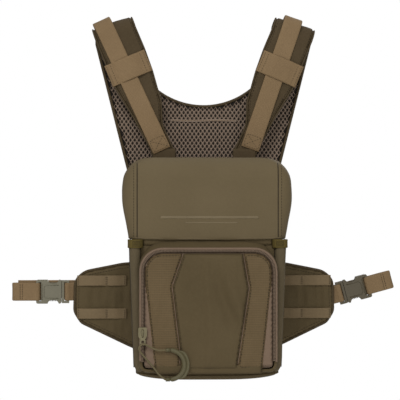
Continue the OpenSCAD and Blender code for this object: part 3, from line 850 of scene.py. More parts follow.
def compartment():
    wall = 4.0
    rings = []
    for k in range(6):
        a = math.radians(90 * k / 5)
        rings.append(body_ring(BODY_FOOT + 5 * (1 - math.sin(a)) if k < 5 else BODY_FOOT,
                               5 * (1 - math.cos(a)), False))
    rings.reverse()
    rings[0] = body_ring(BODY_FOOT, 5, False)
    levels = list(np.arange(BODY_FOOT + 6, RIM - 1, 3.5))
    rings += [body_ring(z, 0, True) for z in levels]
    rings.append(body_ring(RIM - 0.6, 0.3, False))
    rings.append(body_ring(RIM, 1.2, False))
    rings.append(body_ring(RIM, wall - 1.2, False))
    rings.append(body_ring(RIM - 0.8, wall, False))
    rings += [body_ring(z, wall, False) for z in reversed(levels[1:])]
    rings.append(body_ring(BODY_FOOT + wall, wall + 2, False))
    made = loft("pack_compartment", rings, pack_cloth, body="pack", slot="pack_nylon",
                replaces=["chest_panel", "side_wall_left", "side_wall_right", "base_panel",
                          "front_wall"])
    two_tone(made, lining_cloth, lambda c, n: (
        abs(c[0]) < body_half(c[2]) - 1.5 and BODY_FRONT + 1.5 < c[1] < BODY_REAR - 1.5
        and c[2] > BODY_FOOT + 2
    ))
    rim = [(x, y, RIM + 0.2) for x, y, _ in body_ring(RIM, 2.0, False)]
    tubes("compartment_rim_binding", [rim], 2.1, binding_cloth, sides=10, closed=True, body="pack",
          slot="pack_nylon")
    hem = body_ring(BODY_FOOT + 4, 0.2, False)
    tubes("base_hem", [hem], 1.1, pack_cloth, sides=8, closed=True, body="pack", slot="pack_nylon")
    return made


compartment()

mesh_low, mesh_high = box_mm("chest_pad")
slab(
    "chest_pad_mesh", outline_of("chest_pad", rear=True), mesh_low[1], mesh_high[1], mesh_yarn,
    lip=4,
    rear_relief=lambda x, z, e: 0.5 * math.sin(x * 0.16) * math.sin(z * 0.12) - 0.5,
    body="pack", slot="spacer_mesh", replaces=["chest_pad"], fill=0.6,
)

for side, word in SIDES:
    low, high = box_mm("strap_anchor_" + word)
    corners = [(low[0], low[2], 2), (high[0], low[2], 2), (high[0], high[2], 2), (low[0], high[2], 2)]
    slab("strap_anchor_cloth_" + word, rounded(corners), low[1] + 0.2, high[1] - 0.2, strap_cloth,
         lip=1.6, body="pack", slot="strap_nylon", replaces=["strap_anchor_" + word])


def welts():
    for side, word in SIDES:
        low, high = box_mm("edge_welt_" + word)
        outer = low[0] if side < 0 else high[0]
        foot_half = body_half(low[2]) - 1
        middle = []
        for share in np.linspace(0, 1, 60):
            z = high[2] - 0.5 + (low[2] + 1.5 - high[2]) * share
            half = abs(outer) + (foot_half - abs(outer)) * share
            lean = 0.35 * noise.noise(Vector((z * 0.05, side, 2.0)))
            middle.append((side * (half - 3.7) + lean, (low[1] + high[1]) / 2 - 0.3, z))
        tubes("edge_welt_" + word + "_pad", [middle], 5.7, welt_cloth, sides=20, flatten=0.8,
              swell=round_ends, body="pack", slot="welt", replaces=["edge_welt_" + word], fill=0.7)
        # Piping lines along each welt in dark thread colour; the dark also stands for the painted shade of
        # the gap beside the welt.
        for name, shift, y in (("inner", -5.3, BODY_FRONT - 2.0), ("outer", 5.3, BODY_FRONT + 0.8)):
            line = [(x + side * shift, y, z) for x, _, z in middle[1:-2]]
            tubes("welt_piping_gap_shade_" + name + "_" + word, [line], 0.9, dark_thread, sides=6,
                  body="pack", slot="welt")


welts()


def corner_tabs():
    for side, word in SIDES:
        low, high = box_mm("corner_tab_" + word)
        z = (low[2] + high[2]) / 2
        front = low[1] + 0.3
        path = [
            (side * 68.2, BODY_FRONT - 1.2, z), (side * 69.0, front + 4.2, z),
            (side * 71.2, front + 0.8, z), (side * 76.2, front, z), (side * 81.0, front + 1.0, z),
            (side * 83.4, front + 4.5, z), (side * 82.6, front + 9, z), (side * 81.0, front + 15, z),
        ]
        tab = ribbon("corner_tab_" + word + "_webbing", path, (0, 0, 1), high[2] - low[2] + 0.6, 1.5,
                     tab_cloth, body="pack", slot="corner_tab", replaces=["corner_tab_" + word])
        tree = surface_of(tab)
        runs = []
        for k in range(7):
            x = side * (71.5 + 1.2 * k)
            zig = [(x, z - 3.2), (x + 0.5, z - 1), (x, z + 1), (x + 0.5, z + 3.2)]
            runs.append(run_on(tree, zig, step=0.8))
        stitches("corner_tab_bartack_" + word, runs, dark_thread, "pack", "corner_tab",
                 length=1.5, pitch=1.6, thick=0.45)


corner_tabs()


# ------------------------------------------------------------------ front pocket

POCKET = outline_of("pocket_gusset")
ZIP_Y = box_mm("pocket_gusset")[0][1]
ring_points = spaced(POCKET, 2.2, closed=True)


def band(name, steps, material, ring=None, ramp=0.0, **facts):
    """A band round the pocket; steps are (inset, y, wrinkle size)."""
    base = ring_points if ring is None else ring
    rings = []
    for inward, y, size in steps:
        amount = []
        for p in base:
            fold = wrinkle(p[0], p[1] + 2 * y, 11.0, length=11, stretch=1.0, turn=0.5)
            top = min(1.0, max(0.0, (p[1] - 6) / 18)) * (1 - (p[0] / 76) ** 4)
            amount.append(inward - size * fold - ramp * top * min(1.0, max(0.0, (y + 99) / 14)))
        flat = offset(base, amount)
        rings.append([(x, y, z) for x, z in flat])
    return loft(name, rings, material, wrap=True, **facts)


band("pocket_gusset_cloth",
     [(0.3, BODY_FRONT + 0.5, 0), (-0.5, BODY_FRONT - 3, 0.7), (-0.9, -91, 1.0), (-0.9, -95, 0.9),
      (-0.4, -98.5, 0.5), (0.1, ZIP_Y + 0.4, 0.1), (0.8, ZIP_Y - 0.1, 0), (2.6, ZIP_Y, 0),
      (3.0, ZIP_Y + 0.6, 0), (3.0, BODY_FRONT + 0.5, 0)],
     pack_cloth, ramp=7.5, body="pack", slot="pack_nylon", replaces=["pocket_gusset"])


def above(ring, height):
    """The open run of a closed ring that lies above a height, from its first foot to its last."""
    keep = ring[:, 1] > height
    start = next(i for i in range(len(ring)) if keep[i] and not keep[i - 1])
    ring, keep = np.roll(ring, -start, axis=0), np.roll(keep, -start)
    return ring[keep]


def zipper():
    tape_front = box_mm("zip_tape")[0][1]
    rings = []
    for inward, y in ((0.0, ZIP_Y), (-0.5, tape_front + 0.9), (0.1, tape_front), (1.1, tape_front - 0.3),
                      (2.1, tape_front + 0.1), (2.3, ZIP_Y)):
        run = above(offset(ring_points, inward), box_mm("zip_tape")[0][2])
        rings.append([(x, y, z) for x, z in run])
    size = min(len(ring) for ring in rings)
    rings = [spaced(ring, 1, count=size) for ring in rings]
    loft("zip_tape_outer", [list(r) for r in np.transpose(np.array(rings), (1, 0, 2))], tape_cloth,
         body="pack", slot="zip_tape", replaces=["zip_tape"])
    middle = spaced(above(offset(spaced(POCKET, 1.0, closed=True), 3.1), box_mm("zip_coil")[0][2]), 1.45)
    turns = []
    for i, (x, z) in enumerate(middle[1:-1], 1):
        way = middle[i + 1] - middle[i - 1]
        way /= np.linalg.norm(way)
        out = np.array((-way[1], way[0]))
        loop = []
        for share, y in ((-1.2, -101.8), (-1.1, -103.0), (-0.6, -103.8), (0, -104.0), (0.6, -103.8),
                         (1.1, -103.0), (1.2, -101.8)):
            flat = np.array((x, z)) + out * share * 0.95
            loop.append((flat[0], y, flat[1]))
        turns.append(loop)
    tubes("zip_coil_teeth", turns, 0.62, coil_plastic, sides=6, body="pack", slot="coil",
          replaces=["zip_coil"])
    inner = [tuple(p) for p in offset(ring_points, 4.5) if p[1] > box_mm("flap_tape")[0][2]]
    slab("flap_tape_cloth", inner, box_mm("flap_tape")[0][1] - 0.3, ZIP_Y - 0.1, tape_cloth, lip=0.8,
         body="pocket_flap", slot="zip_tape", replaces=["flap_tape"])


zipper()


def centre_relief(x, z, edge):
    """Gathers below the top seam, a long diagonal fold and slack ripples lower down."""
    top = math.exp(-((z - 14) / 22) ** 2)
    gathers = top * 0.9 * noise.noise(Vector((x / 6.5, z / 60, 1.0)))
    line = (x - 20) * 0.93 + (z + 30) * 0.36
    along = math.exp(-((z + 35) / 45) ** 2)
    diagonal = along * (1.3 * math.exp(-((line - 9) / 7) ** 2) - 1.5 * math.exp(-((line + 3) / 6) ** 2))
    slack = 0.8 * wrinkle(x, z, 4.0, length=19, stretch=3.2, turn=0.12)
    return 0.9 + 1.9 * (gathers + diagonal + slack)


def side_relief(x, z, edge):
    return 0.5 + 1.1 * wrinkle(x, z, 6.0, length=15, stretch=2.0, turn=-0.15)


def behind_pull(x, z):
    """The cloth stays behind the pull wherever the pull can swing or ride."""
    return box_mm("pull_grip")[1][1] + 0.4 - max(0.0, x + 6) * 0.4


def pocket_panels():
    low, high = box_mm("flap_panel")
    outline = outline_of("flap_panel")
    made = slab(
        "flap_panel_cloth", outline, low[1], high[1], pack_cloth, step=2.2, lip=1.3, crown=1.4,
        crown_reach=26, relief=centre_relief, room=behind_pull, body="pocket_flap",
        slot="pack_nylon", replaces=["flap_panel"],
    )
    tree = surface_of(made)
    line = [(x, z) for x, z in inset(outline, 2.0, 1.5) if -98 < z < 18]
    stitches("flap_panel_stitches", unbroken(faced(tree, line), 6), dark_thread, "pocket_flap",
             "pack_nylon", length=2.0, pitch=2.9, thick=0.6)
    for word in ("left", "right"):
        low, high = box_mm("flap_side_" + word)
        outline = outline_of("flap_side_" + word)
        made = slab(
            "flap_side_" + word + "_ripstop", outline, low[1], high[1], rip_cloth, step=2.4, lip=1.3,
            crown=0.7, crown_reach=16, relief=side_relief, body="pocket_flap", slot="ripstop",
            replaces=["flap_side_" + word],
        )
        tree = surface_of(made)
        run = [p for p in faced(tree, inset(outline, 2.4, 1.5)) if p[0][2] > -98]
        stitches("flap_side_" + word + "_stitches", unbroken(run, 6), dark_thread, "pocket_flap", "ripstop",
                 length=2.2, pitch=3.2, thick=0.8)


pocket_panels()


def joining(name, path, across, width, thick, material, slot):
    """A strip of cloth laid across the joint between two bodies, its placing baked into its points."""
    made = ribbon(name, path, across, width, thick, material, slot=slot)
    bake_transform(made)
    return made


joining("flap_foot_fold", [(0, -102.6, -104.6), (0, -103.3, -102.6), (0, -103.7, -100.3),
                           (0, -103.9, -98), (0, -104.0, -95.5)],
        (1, 0, 0), 111, 1.2, pack_cloth,
        "pack_nylon")


# ------------------------------------------------------------------ slider

def bevelled(node, material, width=0.5, segments=2):
    """A moulded CAD piece kept as it is, with softened edges and its own finish."""
    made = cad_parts[node]
    made.data.materials.clear()
    made.data.materials.append(material)
    soft = made.modifiers.new("soft edges", "BEVEL")
    soft.width = width * MM
    soft.segments = segments
    soft.limit_method = "ANGLE"
    soft.angle_limit = math.radians(35)
    soft.use_clamp_overlap = True
    soft.harden_normals = True
    made.data.polygons.foreach_set("use_smooth", [True] * len(made.data.polygons))
    return made


bevelled("zip_slider", slider_paint, 0.35)
low, high = box_mm("zip_slider")
mid_x = (low[0] + high[0]) / 2
tubes("slider_bridge", [[(mid_x, low[1] + 0.4, high[2] - 2.2), (mid_x, low[1] - 1.3, high[2] - 3.2),
                         (mid_x, low[1] - 1.7, high[2] - 6), (mid_x, low[1] - 1.3, high[2] - 9),
                         (mid_x, low[1] + 0.4, high[2] - 10)]], 0.9, slider_paint, sides=8,
      body="slider", slot="slider_metal")


# ------------------------------------------------------------------ lid

LID_LOW, LID_HIGH = box_mm("lid_shell")
LID_WALL = 2.5
LID_TURN = 93                               # height where the lid's top starts to curve over
LID_CURVE = 28                              # radius of that curve
SEAM_X = 74.0
LID_SIDE = rounded([(87, LID_HIGH[2], 28), (90.6, 78.5, 130), (83, LID_LOW[2], 0), (0, LID_LOW[2], 0),
                    (0, LID_HIGH[2], 0)])
LID_FRONT = rounded([(LID_LOW[1], LID_LOW[2], 0), (LID_LOW[1], LID_HIGH[2], 22),
                     (LID_HIGH[1], LID_HIGH[2], 0), (LID_HIGH[1], LID_LOW[2], 0)])


def reach_at(outline, z, farthest):
    """The extreme reach of an outline at a height."""
    found = []
    for (a, za), (b, zb) in zip(outline, outline[1:] + outline[:1]):
        if min(za, zb) - 1e-6 <= z <= max(za, zb) + 1e-6 and abs(zb - za) > 1e-9:
            found.append(a + (b - a) * (z - za) / (zb - za))
    return farthest(found)


def lid_ring(z, inset_by, shrink=1.0):
    """One level of the lid: a U, open towards the wearer."""
    z = min(z, LID_HIGH[2] - 0.01)
    half = reach_at(LID_SIDE, z, max) - inset_by
    front = reach_at(LID_FRONT, z, min) + inset_by
    lateral = min(16.0, max(9.0, half - SEAM_X + 1.5))
    depth = 15.0
    rear = LID_HIGH[1]
    points = []
    for k in range(15):
        points.append((half, rear + (front + depth - rear) * k / 15))
    for k in range(13):
        a = math.radians(90 * k / 12)
        points.append((half - lateral + lateral * math.cos(a), front + depth - depth * math.sin(a)))
    inner = half - lateral
    for k in range(1, 31):
        points.append((inner - 2 * inner * k / 31, front))
    points += [(-x, y) for x, y in reversed(points[:28])]
    made = []
    for x, y in points:
        away = max(0.0, 1 - abs(x) / max(inner, 1))
        crown = 1.6 * (1 - (1 - away) ** 2) * min(1.0, (LID_HIGH[2] - z) / 20)
        sag = -1.1 * (1 - (x / 84) ** 2) * max(0.0, 1 - (z - LID_LOW[2]) / 10)
        sag = max(sag, -1.1)
        dent = 0.0
        if inset_by == 0:
            on_front = 1.0 if y < front + 0.5 else 0.0
            dent = 0.9 * wrinkle(x, z, 21.0, length=30, stretch=1.4) * on_front
            side = min(1.0, max(0.0, (abs(x) - SEAM_X) / 6))
            x += math.copysign(1, x) * side * 0.7 * wrinkle(y, z, 23.0, length=20, stretch=1.6)
        made.append((x, y - (crown - dent if y < front + 0.5 else 0), z + sag))
    made = np.array(made)
    if shrink < 1:
        centre = np.array((0, rear, made[0][2]))
        made = centre + (made - centre) * np.array((shrink, shrink, 1))
    return made


def lid():
    top = LID_HIGH[2]
    levels = list(np.arange(LID_LOW[2], LID_TURN - 1, 2.6))
    levels += [LID_TURN + LID_CURVE * math.sin(math.radians(a)) for a in range(0, 91, 6)]
    outer = [lid_ring(z, 0) for z in levels]
    caps = [lid_ring(top, 0, 1 - k / 12) for k in range(1, 12)]
    inner_levels = [z if z < LID_TURN else LID_TURN + (z - LID_TURN) * (LID_CURVE - LID_WALL) / LID_CURVE
                    for z in levels]
    inner = [lid_ring(z, LID_WALL) for z in levels]
    for ring, z in zip(inner, inner_levels):
        ring[:, 2] += z - min(levels[-1], ring[:, 2].max())
    inner_caps = [lid_ring(top, LID_WALL, 1 - k / 12) for k in range(1, 12)]
    for ring in inner_caps:
        ring[:, 2] = top - LID_WALL
    lip = outer[0].copy()
    lip[:, 2] -= 0.7
    lip_in = inner[0].copy()
    lip_in[:, 2] -= 0.7
    middle = (lip + lip_in) / 2
    middle[:, 2] -= 0.5
    rings = list(reversed(caps)) + list(reversed(outer)) + [lip * 0.5 + middle * 0.5, middle,
                                                          lip_in * 0.5 + middle * 0.5]
    rings += inner + inner_caps
    size = len(rings[0])
    verts = [tuple(p) for ring in rings for p in ring]
    faces = []
    for i in range(len(rings) - 1):
        for k in range(size - 1):
            faces.append((i * size + k, i * size + k + 1, (i + 1) * size + k + 1, (i + 1) * size + k))
    last = len(rings) - 1
    faces.append(tuple(range(size)))
    faces.append(tuple(last * size + size - 1 - k for k in range(size)))
    half_count = len(caps) + len(outer) + 1
    for i in range(half_count):
        j = last - i
        if j <= i + 1:
            break
        for k in (0, size - 1):
            faces.append((i * size + k, (i + 1) * size + k, (j - 1) * size + k, j * size + k))
    lay = [(p[0], p[2] if p[1] < -70 else p[2] + 0.7 * p[1]) for p in verts]
    made = piece("lid_cloth", verts, faces, shell_cloth, body="lid", lay=lay, slot="shell_fabric",
                 replaces=["lid_shell"])
    make_outward(made)
    return made


lid_piece = lid()
lid_tree = surface_of(lid_piece)


def lid_details():
    seam_runs = []
    top_runs = []
    for side in (-1, 1):
        foot = LID_LOW[2] + 1
        line = faced(lid_tree, [(side * SEAM_X, z) for z in np.arange(foot, 116, 1.5)])
        seam_runs.append([tuple(p - n * 0.05) for p, n in line])
        second = [(side * (SEAM_X + 3.6), z) for z in np.arange(foot, 113, 1.5)]
        top_runs.append(faced(lid_tree, second))
    tubes("lid_seams", seam_runs, 0.55, dark_thread, sides=6, body="lid", slot="shell_fabric")
    stitches("lid_topstitch", top_runs, dark_thread, "lid", "shell_fabric", length=2.2, pitch=3.0,
             thick=0.5)
    for name, ends, z, tall in (("lid_plain_bar", (-50, 55), 57.7, 3.0),
                                ("lid_plain_line", (-24, 32), 52.2, 1.2)):
        line = [facing(lid_tree, x, z)[0] for x in np.arange(ends[0], ends[1], 1.5)]
        tubes(name, [line], tall / 2, raised_print, sides=10, flatten=0.3, body="lid",
              slot="shell_fabric")
    low, high = box_mm("lid_liner")
    hem = [tuple(p + np.array((0, 0, 0.3))) for p in lid_ring(LID_LOW[2] + 0.2, LID_WALL / 2)]
    tubes("lid_edge_binding", [hem[1:-1]], 1.5, shell_side, sides=8, body="lid", slot="shell_fabric")
    outline = rounded([(low[0], low[1], 8), (high[0], low[1], 8), (high[0], high[1], 8),
                       (low[0], high[1], 8)])
    liner = slab("lid_liner_quilt", outline, -1.0, 0.4, lining_cloth, lip=0.7, step=4,
                 relief=lambda x, z, e: 0.35 * math.cos(x * 0.35) * math.cos(z * 0.35), body="lid",
                 slot="lining", replaces=["lid_liner"])
    verts = np.array([v.co for v in liner.data.vertices]) / MM
    turned = np.column_stack((verts[:, 0], verts[:, 2], (low[2] + high[2]) / 2 + verts[:, 1]))
    liner.data.vertices.foreach_set("co", (turned * MM).astype(np.float32).ravel())
    make_outward(liner)


lid_details()

joining("lid_hinge_cloth", [(0, BODY_FRONT - 0.6, 28.5), (0, BODY_FRONT - 0.8, 32),
                            (0, BODY_FRONT - 1.1, 36), (0, BODY_FRONT - 1.0, 42)],
        (1, 0, 0), 138, 1.0, pack_cloth, "pack_nylon")


# ------------------------------------------------------------------ shoulder straps

FOLD_IN = np.array((76.1, 265.8))
FOLD_OUT = np.array((118.6, 251.8))
FOLD_Y = 6.0
STRAP_SHAPE = [
    (*FOLD_IN, 0), (*FOLD_OUT, 0), (98, 200, 60), (76, 164, 60), (57, 129, 8), (57, 125, 0),
    (31, 125, 0), (46.5, 158, 30), (47.5, 185, 30), (52, 199, 20), (57, 217, 60), (66, 242, 60),
]
STRAP_FRONT = box_mm("strap_pad_left")[0][1]
STRAP_THICK = 4.5
STRAP_REAR = STRAP_FRONT + STRAP_THICK
FOLD_RUN = (FOLD_OUT - FOLD_IN) / np.linalg.norm(FOLD_OUT - FOLD_IN)
FOLD_UP = np.array((-FOLD_RUN[1], FOLD_RUN[0]))
FOLD_MID = FOLD_Y - (STRAP_FRONT + STRAP_REAR) / 2


def over_shoulder(made, side):
    """Wraps what lies beyond the fold line around the shoulder."""
    verts = np.array([v.co for v in made.data.vertices]) / MM
    origin = FOLD_IN * np.array((side, 1))
    up = FOLD_UP * np.array((side, 1))
    for p in verts:
        beyond = float((p[[0, 2]] - origin) @ up)
        if beyond <= 0:
            continue
        foot = p[[0, 2]] - up * beyond
        turn = min(beyond / FOLD_MID, math.pi)
        radial = FOLD_Y - p[1]
        drop = max(0.0, beyond - FOLD_MID * math.pi)
        place = foot + up * (radial * math.sin(turn) - drop)
        p[0], p[1], p[2] = place[0], FOLD_Y - radial * math.cos(turn), place[1]
    made.data.vertices.foreach_set("co", (verts * MM).astype(np.float32).ravel())
    made.data.update()


def strap(side, word):
    outline = [np.array((x * side, z)) for x, z in rounded(STRAP_SHAPE)]
    up = FOLD_UP * np.array((side, 1))
    reach = FOLD_MID * math.pi - 0.5
    start, end = outline[:2]
    grown = [tuple(start), tuple(start + up * reach), tuple(end + up * reach), tuple(end)]
    grown += [tuple(p) for p in outline[2:]]

    def relief(x, z, e):
        return 0.9 * wrinkle(x, z, 31.0 + side, length=14, stretch=1.6, turn=0.5 * side)

    pad = slab("strap_pad_" + word + "_cloth", grown, STRAP_FRONT + 0.2, STRAP_REAR, strap_cloth,
               step=2.8, lip=2.2, crown=0.3, relief=relief, body="harness", slot="strap_nylon",
               replaces=["strap_pad_" + word], fill=0.5)
    flat_tree = surface_of(pad)
    run = faced(flat_tree, inset(grown, 3.0, 2.0))
    sewn = stitches("strap_pad_" + word + "_stitches", unbroken(run, 8), dark_thread, "harness",
                    "strap_nylon", length=2.2, pitch=3.2, thick=0.5)
    edge = [(x, (STRAP_FRONT + STRAP_REAR) / 2, z) for x, z in spaced(grown, 2.8, closed=True)]
    binding = tubes("strap_pad_" + word + "_binding", [edge], 1.1, binding_cloth, sides=8,
                    flatten=1.9, closed=True, body="harness", slot="strap_nylon")
    for made in (pad, sewn, binding):
        over_shoulder(made, side)


WEB_LINES = {"left": ((46.4, 130), (107.2, 260.3)), "right": ((50.1, 132), (95, 263.5))}


def strap_webbing(side, word):
    foot, top = (np.array(p) * np.array((side, 1)) for p in WEB_LINES[word])
    run = (top - foot) / np.linalg.norm(top - foot)
    across = (run[1], 0, -run[0])
    depth = STRAP_FRONT - 1.1
    radius = FOLD_Y - depth
    path = [(foot[0], depth, foot[1])]
    span = np.linalg.norm(top - foot)
    for k in range(1, 20):
        here = foot + run * span * k / 20
        lift = 0.5 * math.sin(math.pi * k / 20)
        path.append((here[0], depth - lift, here[1]))
    for k in range(13):
        a = math.pi * k / 12
        here = top + run * radius * math.sin(a)
        path.append((here[0], FOLD_Y - radius * math.cos(a), here[1]))
    path.append((top[0] - run[0] * 3, FOLD_Y + radius, top[1] - run[1] * 3))
    ribbon("strap_web_" + word + "_webbing", path, across, 20.4, 1.8, web_cloth, body="harness",
           slot="webbing", replaces=["strap_web_" + word])
    box = []
    tree = surface_of(bpy.data.objects["strap_web_" + word + "_webbing"])
    side_way = np.array((run[1], -run[0]))
    corners = [foot + run * 2 - side_way * 8.2, foot + run * 2 + side_way * 8.2,
               foot + run * 15 + side_way * 8.2, foot + run * 15 - side_way * 8.2]
    box.append(run_on(tree, corners + corners[:1], step=1.5))
    box.append(run_on(tree, [corners[0], corners[2]], step=1.5))
    box.append(run_on(tree, [corners[1], corners[3]], step=1.5))
    stitches("strap_web_" + word + "_box_stitch", box, thread_yarn, "harness", "webbing", length=2.0,
             pitch=2.9, thick=0.5)


KEEPER_MIDDLE = (83, 220.0)
KEEPER_TILT = math.radians(23)


def keepers(side, word):
    middle = np.array((KEEPER_MIDDLE[0] * side, KEEPER_MIDDLE[1]))
    way = np.array((math.cos(KEEPER_TILT) * side, -math.sin(KEEPER_TILT)))
    across = (-way[1], 0, way[0])
    path = []
    for u, lift in ((-23.6, 0.75), (-19, 0.95), (-15, 1.2), (-12, 2.4), (-9, 3.1), (0, 3.4), (9, 3.1),
                    (12, 2.4), (15, 1.2), (19, 0.95), (23.6, 0.75)):
        here = middle + way * u
        path.append((here[0], STRAP_FRONT - lift, here[1]))
    made = ribbon("keeper_" + word + "_webbing", path, across, 25, 1.5, web_cloth, body="harness",
                  slot="webbing", replaces=["keeper_" + word])
    tree = surface_of(made)
    side_way = np.array((-way[1], way[0]))
    runs = []
    for u in (-21.5, -17.5, 17.5, 21.5):
        here = middle + way * u
        runs.append(run_on(tree, [here - side_way * 11, here + side_way * 11], step=1.5))
    stitches("keeper_" + word + "_stitches", runs, thread_yarn, "harness", "webbing", length=2.0,
             pitch=2.9, thick=0.5)


for side, word in SIDES:
    strap(side, word)
    strap_webbing(side, word)
    keepers(side, word)
    joining("strap_foot_" + word, [(side * 44, -7.3, 114), (side * 44, -7.5, 119),
                                   (side * 44, -7.7, 124.2), (side * 44, -7.6, 132)],
            (1, 0, 0), 25, 0.9, strap_cloth,
            "strap_nylon")


# ------------------------------------------------------------------ yoke

YOKE_LOW, YOKE_HIGH = box_mm("yoke_panel")
YOKE = outline_of("yoke_panel", rear=True)
MESH_FRONT = box_mm("yoke_mesh")[0][1]


def lattice(name, loop, y, material, width, height, **facts):
    """Knitted mesh: diamond tiles, each with a rounded hole whose wall runs back into the cloth."""
    ring = spaced(loop, 3, closed=True)
    low, high = ring.min(0), ring.max(0)
    middles = []
    for j in range(int((high[1] - low[1]) / (height / 2)) + 1):
        for i in range(int((high[0] - low[0]) / width) + 2):
            middles.append((low[0] + (i + 0.5 * (j % 2)) * width, low[1] + j * height / 2))
    middles = np.array(middles)
    middles = middles[inside(middles, ring) & (edge_distance(middles, ring) > width * 0.62)]
    verts = []
    lay = []
    faces = []
    shared = {}
    corners = [(0.5, 0), (0.25, 0.25), (0, 0.5), (-0.25, 0.25), (-0.5, 0), (-0.25, -0.25), (0, -0.5),
               (0.25, -0.25)]
    for x, z in middles:
        outer = []
        swell = 0.25 * noise.noise(Vector((x / 30, z / 30, 9.0)))
        for k, (u, v) in enumerate(corners):
            px, pz = x + u * width, z + v * height
            key = (round(px, 2), round(pz, 2))
            if key not in shared:
                shared[key] = len(verts)
                bump = 0.15 if k % 2 == 0 else 0.4
                verts.append((px, y - bump + swell, pz))
                lay.append((px, pz))
            outer.append(shared[key])
        inner = []
        for scale, depth in ((0.74, 0.1), (0.56, 0.55), (0.5, 1.5)):
            inner.append([])
            for u, v in corners:
                length = math.hypot(u, v)
                blunt = 0.5 / length * 0.6 + 0.4
                inner[-1].append(len(verts))
                px, pz = x + u * width * scale * blunt, z + v * height * scale * blunt
                verts.append((px, y + depth + swell, pz))
                lay.append((px, pz))
        rings = [outer] + inner
        for a, b in zip(rings, rings[1:]):
            for k in range(8):
                m = (k + 1) % 8
                faces.append((a[k], b[k], b[m], a[m]))
    return piece(name, verts, faces, material, lay=lay, **facts)


def yoke():
    slab("yoke_panel_cloth", YOKE, YOKE_LOW[1] + 0.3, YOKE_HIGH[1], strap_cloth, step=4, lip=2.2,
         rear_relief=lambda x, z, e: 0.8 * wrinkle(x, z, 41.0, length=34, stretch=2.0) + 0.3,
         body="yoke", slot="strap_nylon", replaces=["yoke_panel"], fill=0.5)
    backing = [tuple(p) for p in inset(YOKE, 1.0, 3.0)]
    # A sheet in painted shade behind the knit, so the mesh holes show the shadowed strap nylon behind them.
    slab("yoke_mesh_shade_backing", backing, MESH_FRONT + 1.5, YOKE_LOW[1] + 0.6, shade_backing_cloth, step=5,
         lip=0.4, body="yoke", slot="spacer_mesh")
    lattice("yoke_mesh_knit", YOKE, MESH_FRONT + 0.35, mesh_yarn, 4.7, 6.8, body="yoke",
            slot="spacer_mesh", replaces=["yoke_mesh"])
    edge = [(x, (MESH_FRONT + YOKE_HIGH[1]) / 2, z) for x, z in spaced(YOKE, 3, closed=True)]
    tubes("yoke_edge_binding", [edge], 1.8, binding_cloth, sides=10, flatten=1.85, closed=True,
          body="yoke", slot="strap_nylon", replaces=["yoke_binding"])
    low, high = box_mm("yoke_seam")
    middle = (low[2] + high[2]) / 2
    path = [(x, MESH_FRONT - 0.2 + 0.15 * math.sin(x * 0.5), middle + 0.4 * math.sin(x * 0.11))
            for x in np.linspace(low[0], high[0], 40)]
    seam = ribbon("yoke_seam_tape", path, (0, 0, 1), 2.6, 0.7, mesh_yarn, body="yoke",
                  slot="spacer_mesh", replaces=["yoke_seam"])
    tree = surface_of(seam)
    stitches("yoke_seam_stitches", [run_on(tree, [(low[0] + 2, middle), (high[0] - 2, middle)])],
             web_cloth, "yoke", "spacer_mesh", length=2.4, pitch=3.4, thick=0.7)
    low, high = box_mm("hang_loop")
    path = [(0, YOKE_HIGH[1] + 0.8, low[2]), (0, YOKE_HIGH[1] + 1.0, low[2] + 3),
            (0, YOKE_HIGH[1] + 5, low[2] + 4.6), (0, high[1] - 1, low[2] + 8),
            (0, high[1] - 0.9, high[2] - 8), (0, YOKE_HIGH[1] + 5, high[2] - 4.6),
            (0, YOKE_HIGH[1] + 1.0, high[2] - 3), (0, YOKE_HIGH[1] + 0.8, high[2])]
    ribbon("hang_loop_webbing", path, (1, 0, 0), 16, 1.6, web_cloth, body="yoke", slot="webbing",
           replaces=["hang_loop"])
    low, high = box_mm("belt_sleeve")
    path = [(0, YOKE_HIGH[1] + 0.7, low[2]), (0, YOKE_HIGH[1] + 0.9, low[2] + 3.5),
            (0, high[1] - 1.8, low[2] + 6), (0, high[1] - 0.8, low[2] + 10),
            (0, high[1] - 0.8, high[2] - 10),
            (0, high[1] - 1.8, high[2] - 6), (0, YOKE_HIGH[1] + 0.9, high[2] - 3.5),
            (0, YOKE_HIGH[1] + 0.7, high[2])]
    sleeve = ribbon("belt_sleeve_cloth", path, (1, 0, 0), high[0] - low[0], 1.4, strap_cloth,
                    body="yoke", slot="strap_nylon", replaces=["belt_sleeve"])
    tree = surface_of(sleeve)
    runs = [run_on(tree, [(low[0] + 3, z), (high[0] - 3, z)], from_rear=True)
            for z in (low[2] + 1.8, high[2] - 1.8)]
    stitches("belt_sleeve_stitches", runs, thread_yarn, "yoke", "strap_nylon")
    tree = surface_of(bpy.data.objects["yoke_panel_cloth"])
    run = faced(tree, inset(YOKE, 5.0, 3.0), from_rear=True)
    stitches("yoke_rear_stitches", unbroken(run, 9), thread_yarn, "yoke", "strap_nylon")


yoke()

TAB_RADIUS = 13.5

for side, word in SIDES:
    middle = (FOLD_IN + FOLD_OUT) / 2 * np.array((side, 1))
    up = FOLD_UP * np.array((side, 1))
    run = FOLD_RUN * np.array((side, 1))
    path = []
    for degrees in (120, 140, 160, 180):
        a = math.radians(degrees)
        here = middle + up * TAB_RADIUS * math.sin(a)
        path.append((here[0], FOLD_Y - TAB_RADIUS * math.cos(a), here[1]))
    for drop in (5, 10, 14):
        here = middle - up * drop
        path.append((here[0], FOLD_Y + 13.6, here[1]))
    joining("shoulder_tab_" + word, path, (run[0], 0, run[1]), 43, 1.0, strap_cloth,
            "strap_nylon")


# ------------------------------------------------------------------ hip wings

WING_FRONT = box_mm("wing_pad_left")[0][1]
WING_REAR = box_mm("wing_pad_left")[1][1]
UPPER_BAND = -12.2
LOWER_BAND = -48.2


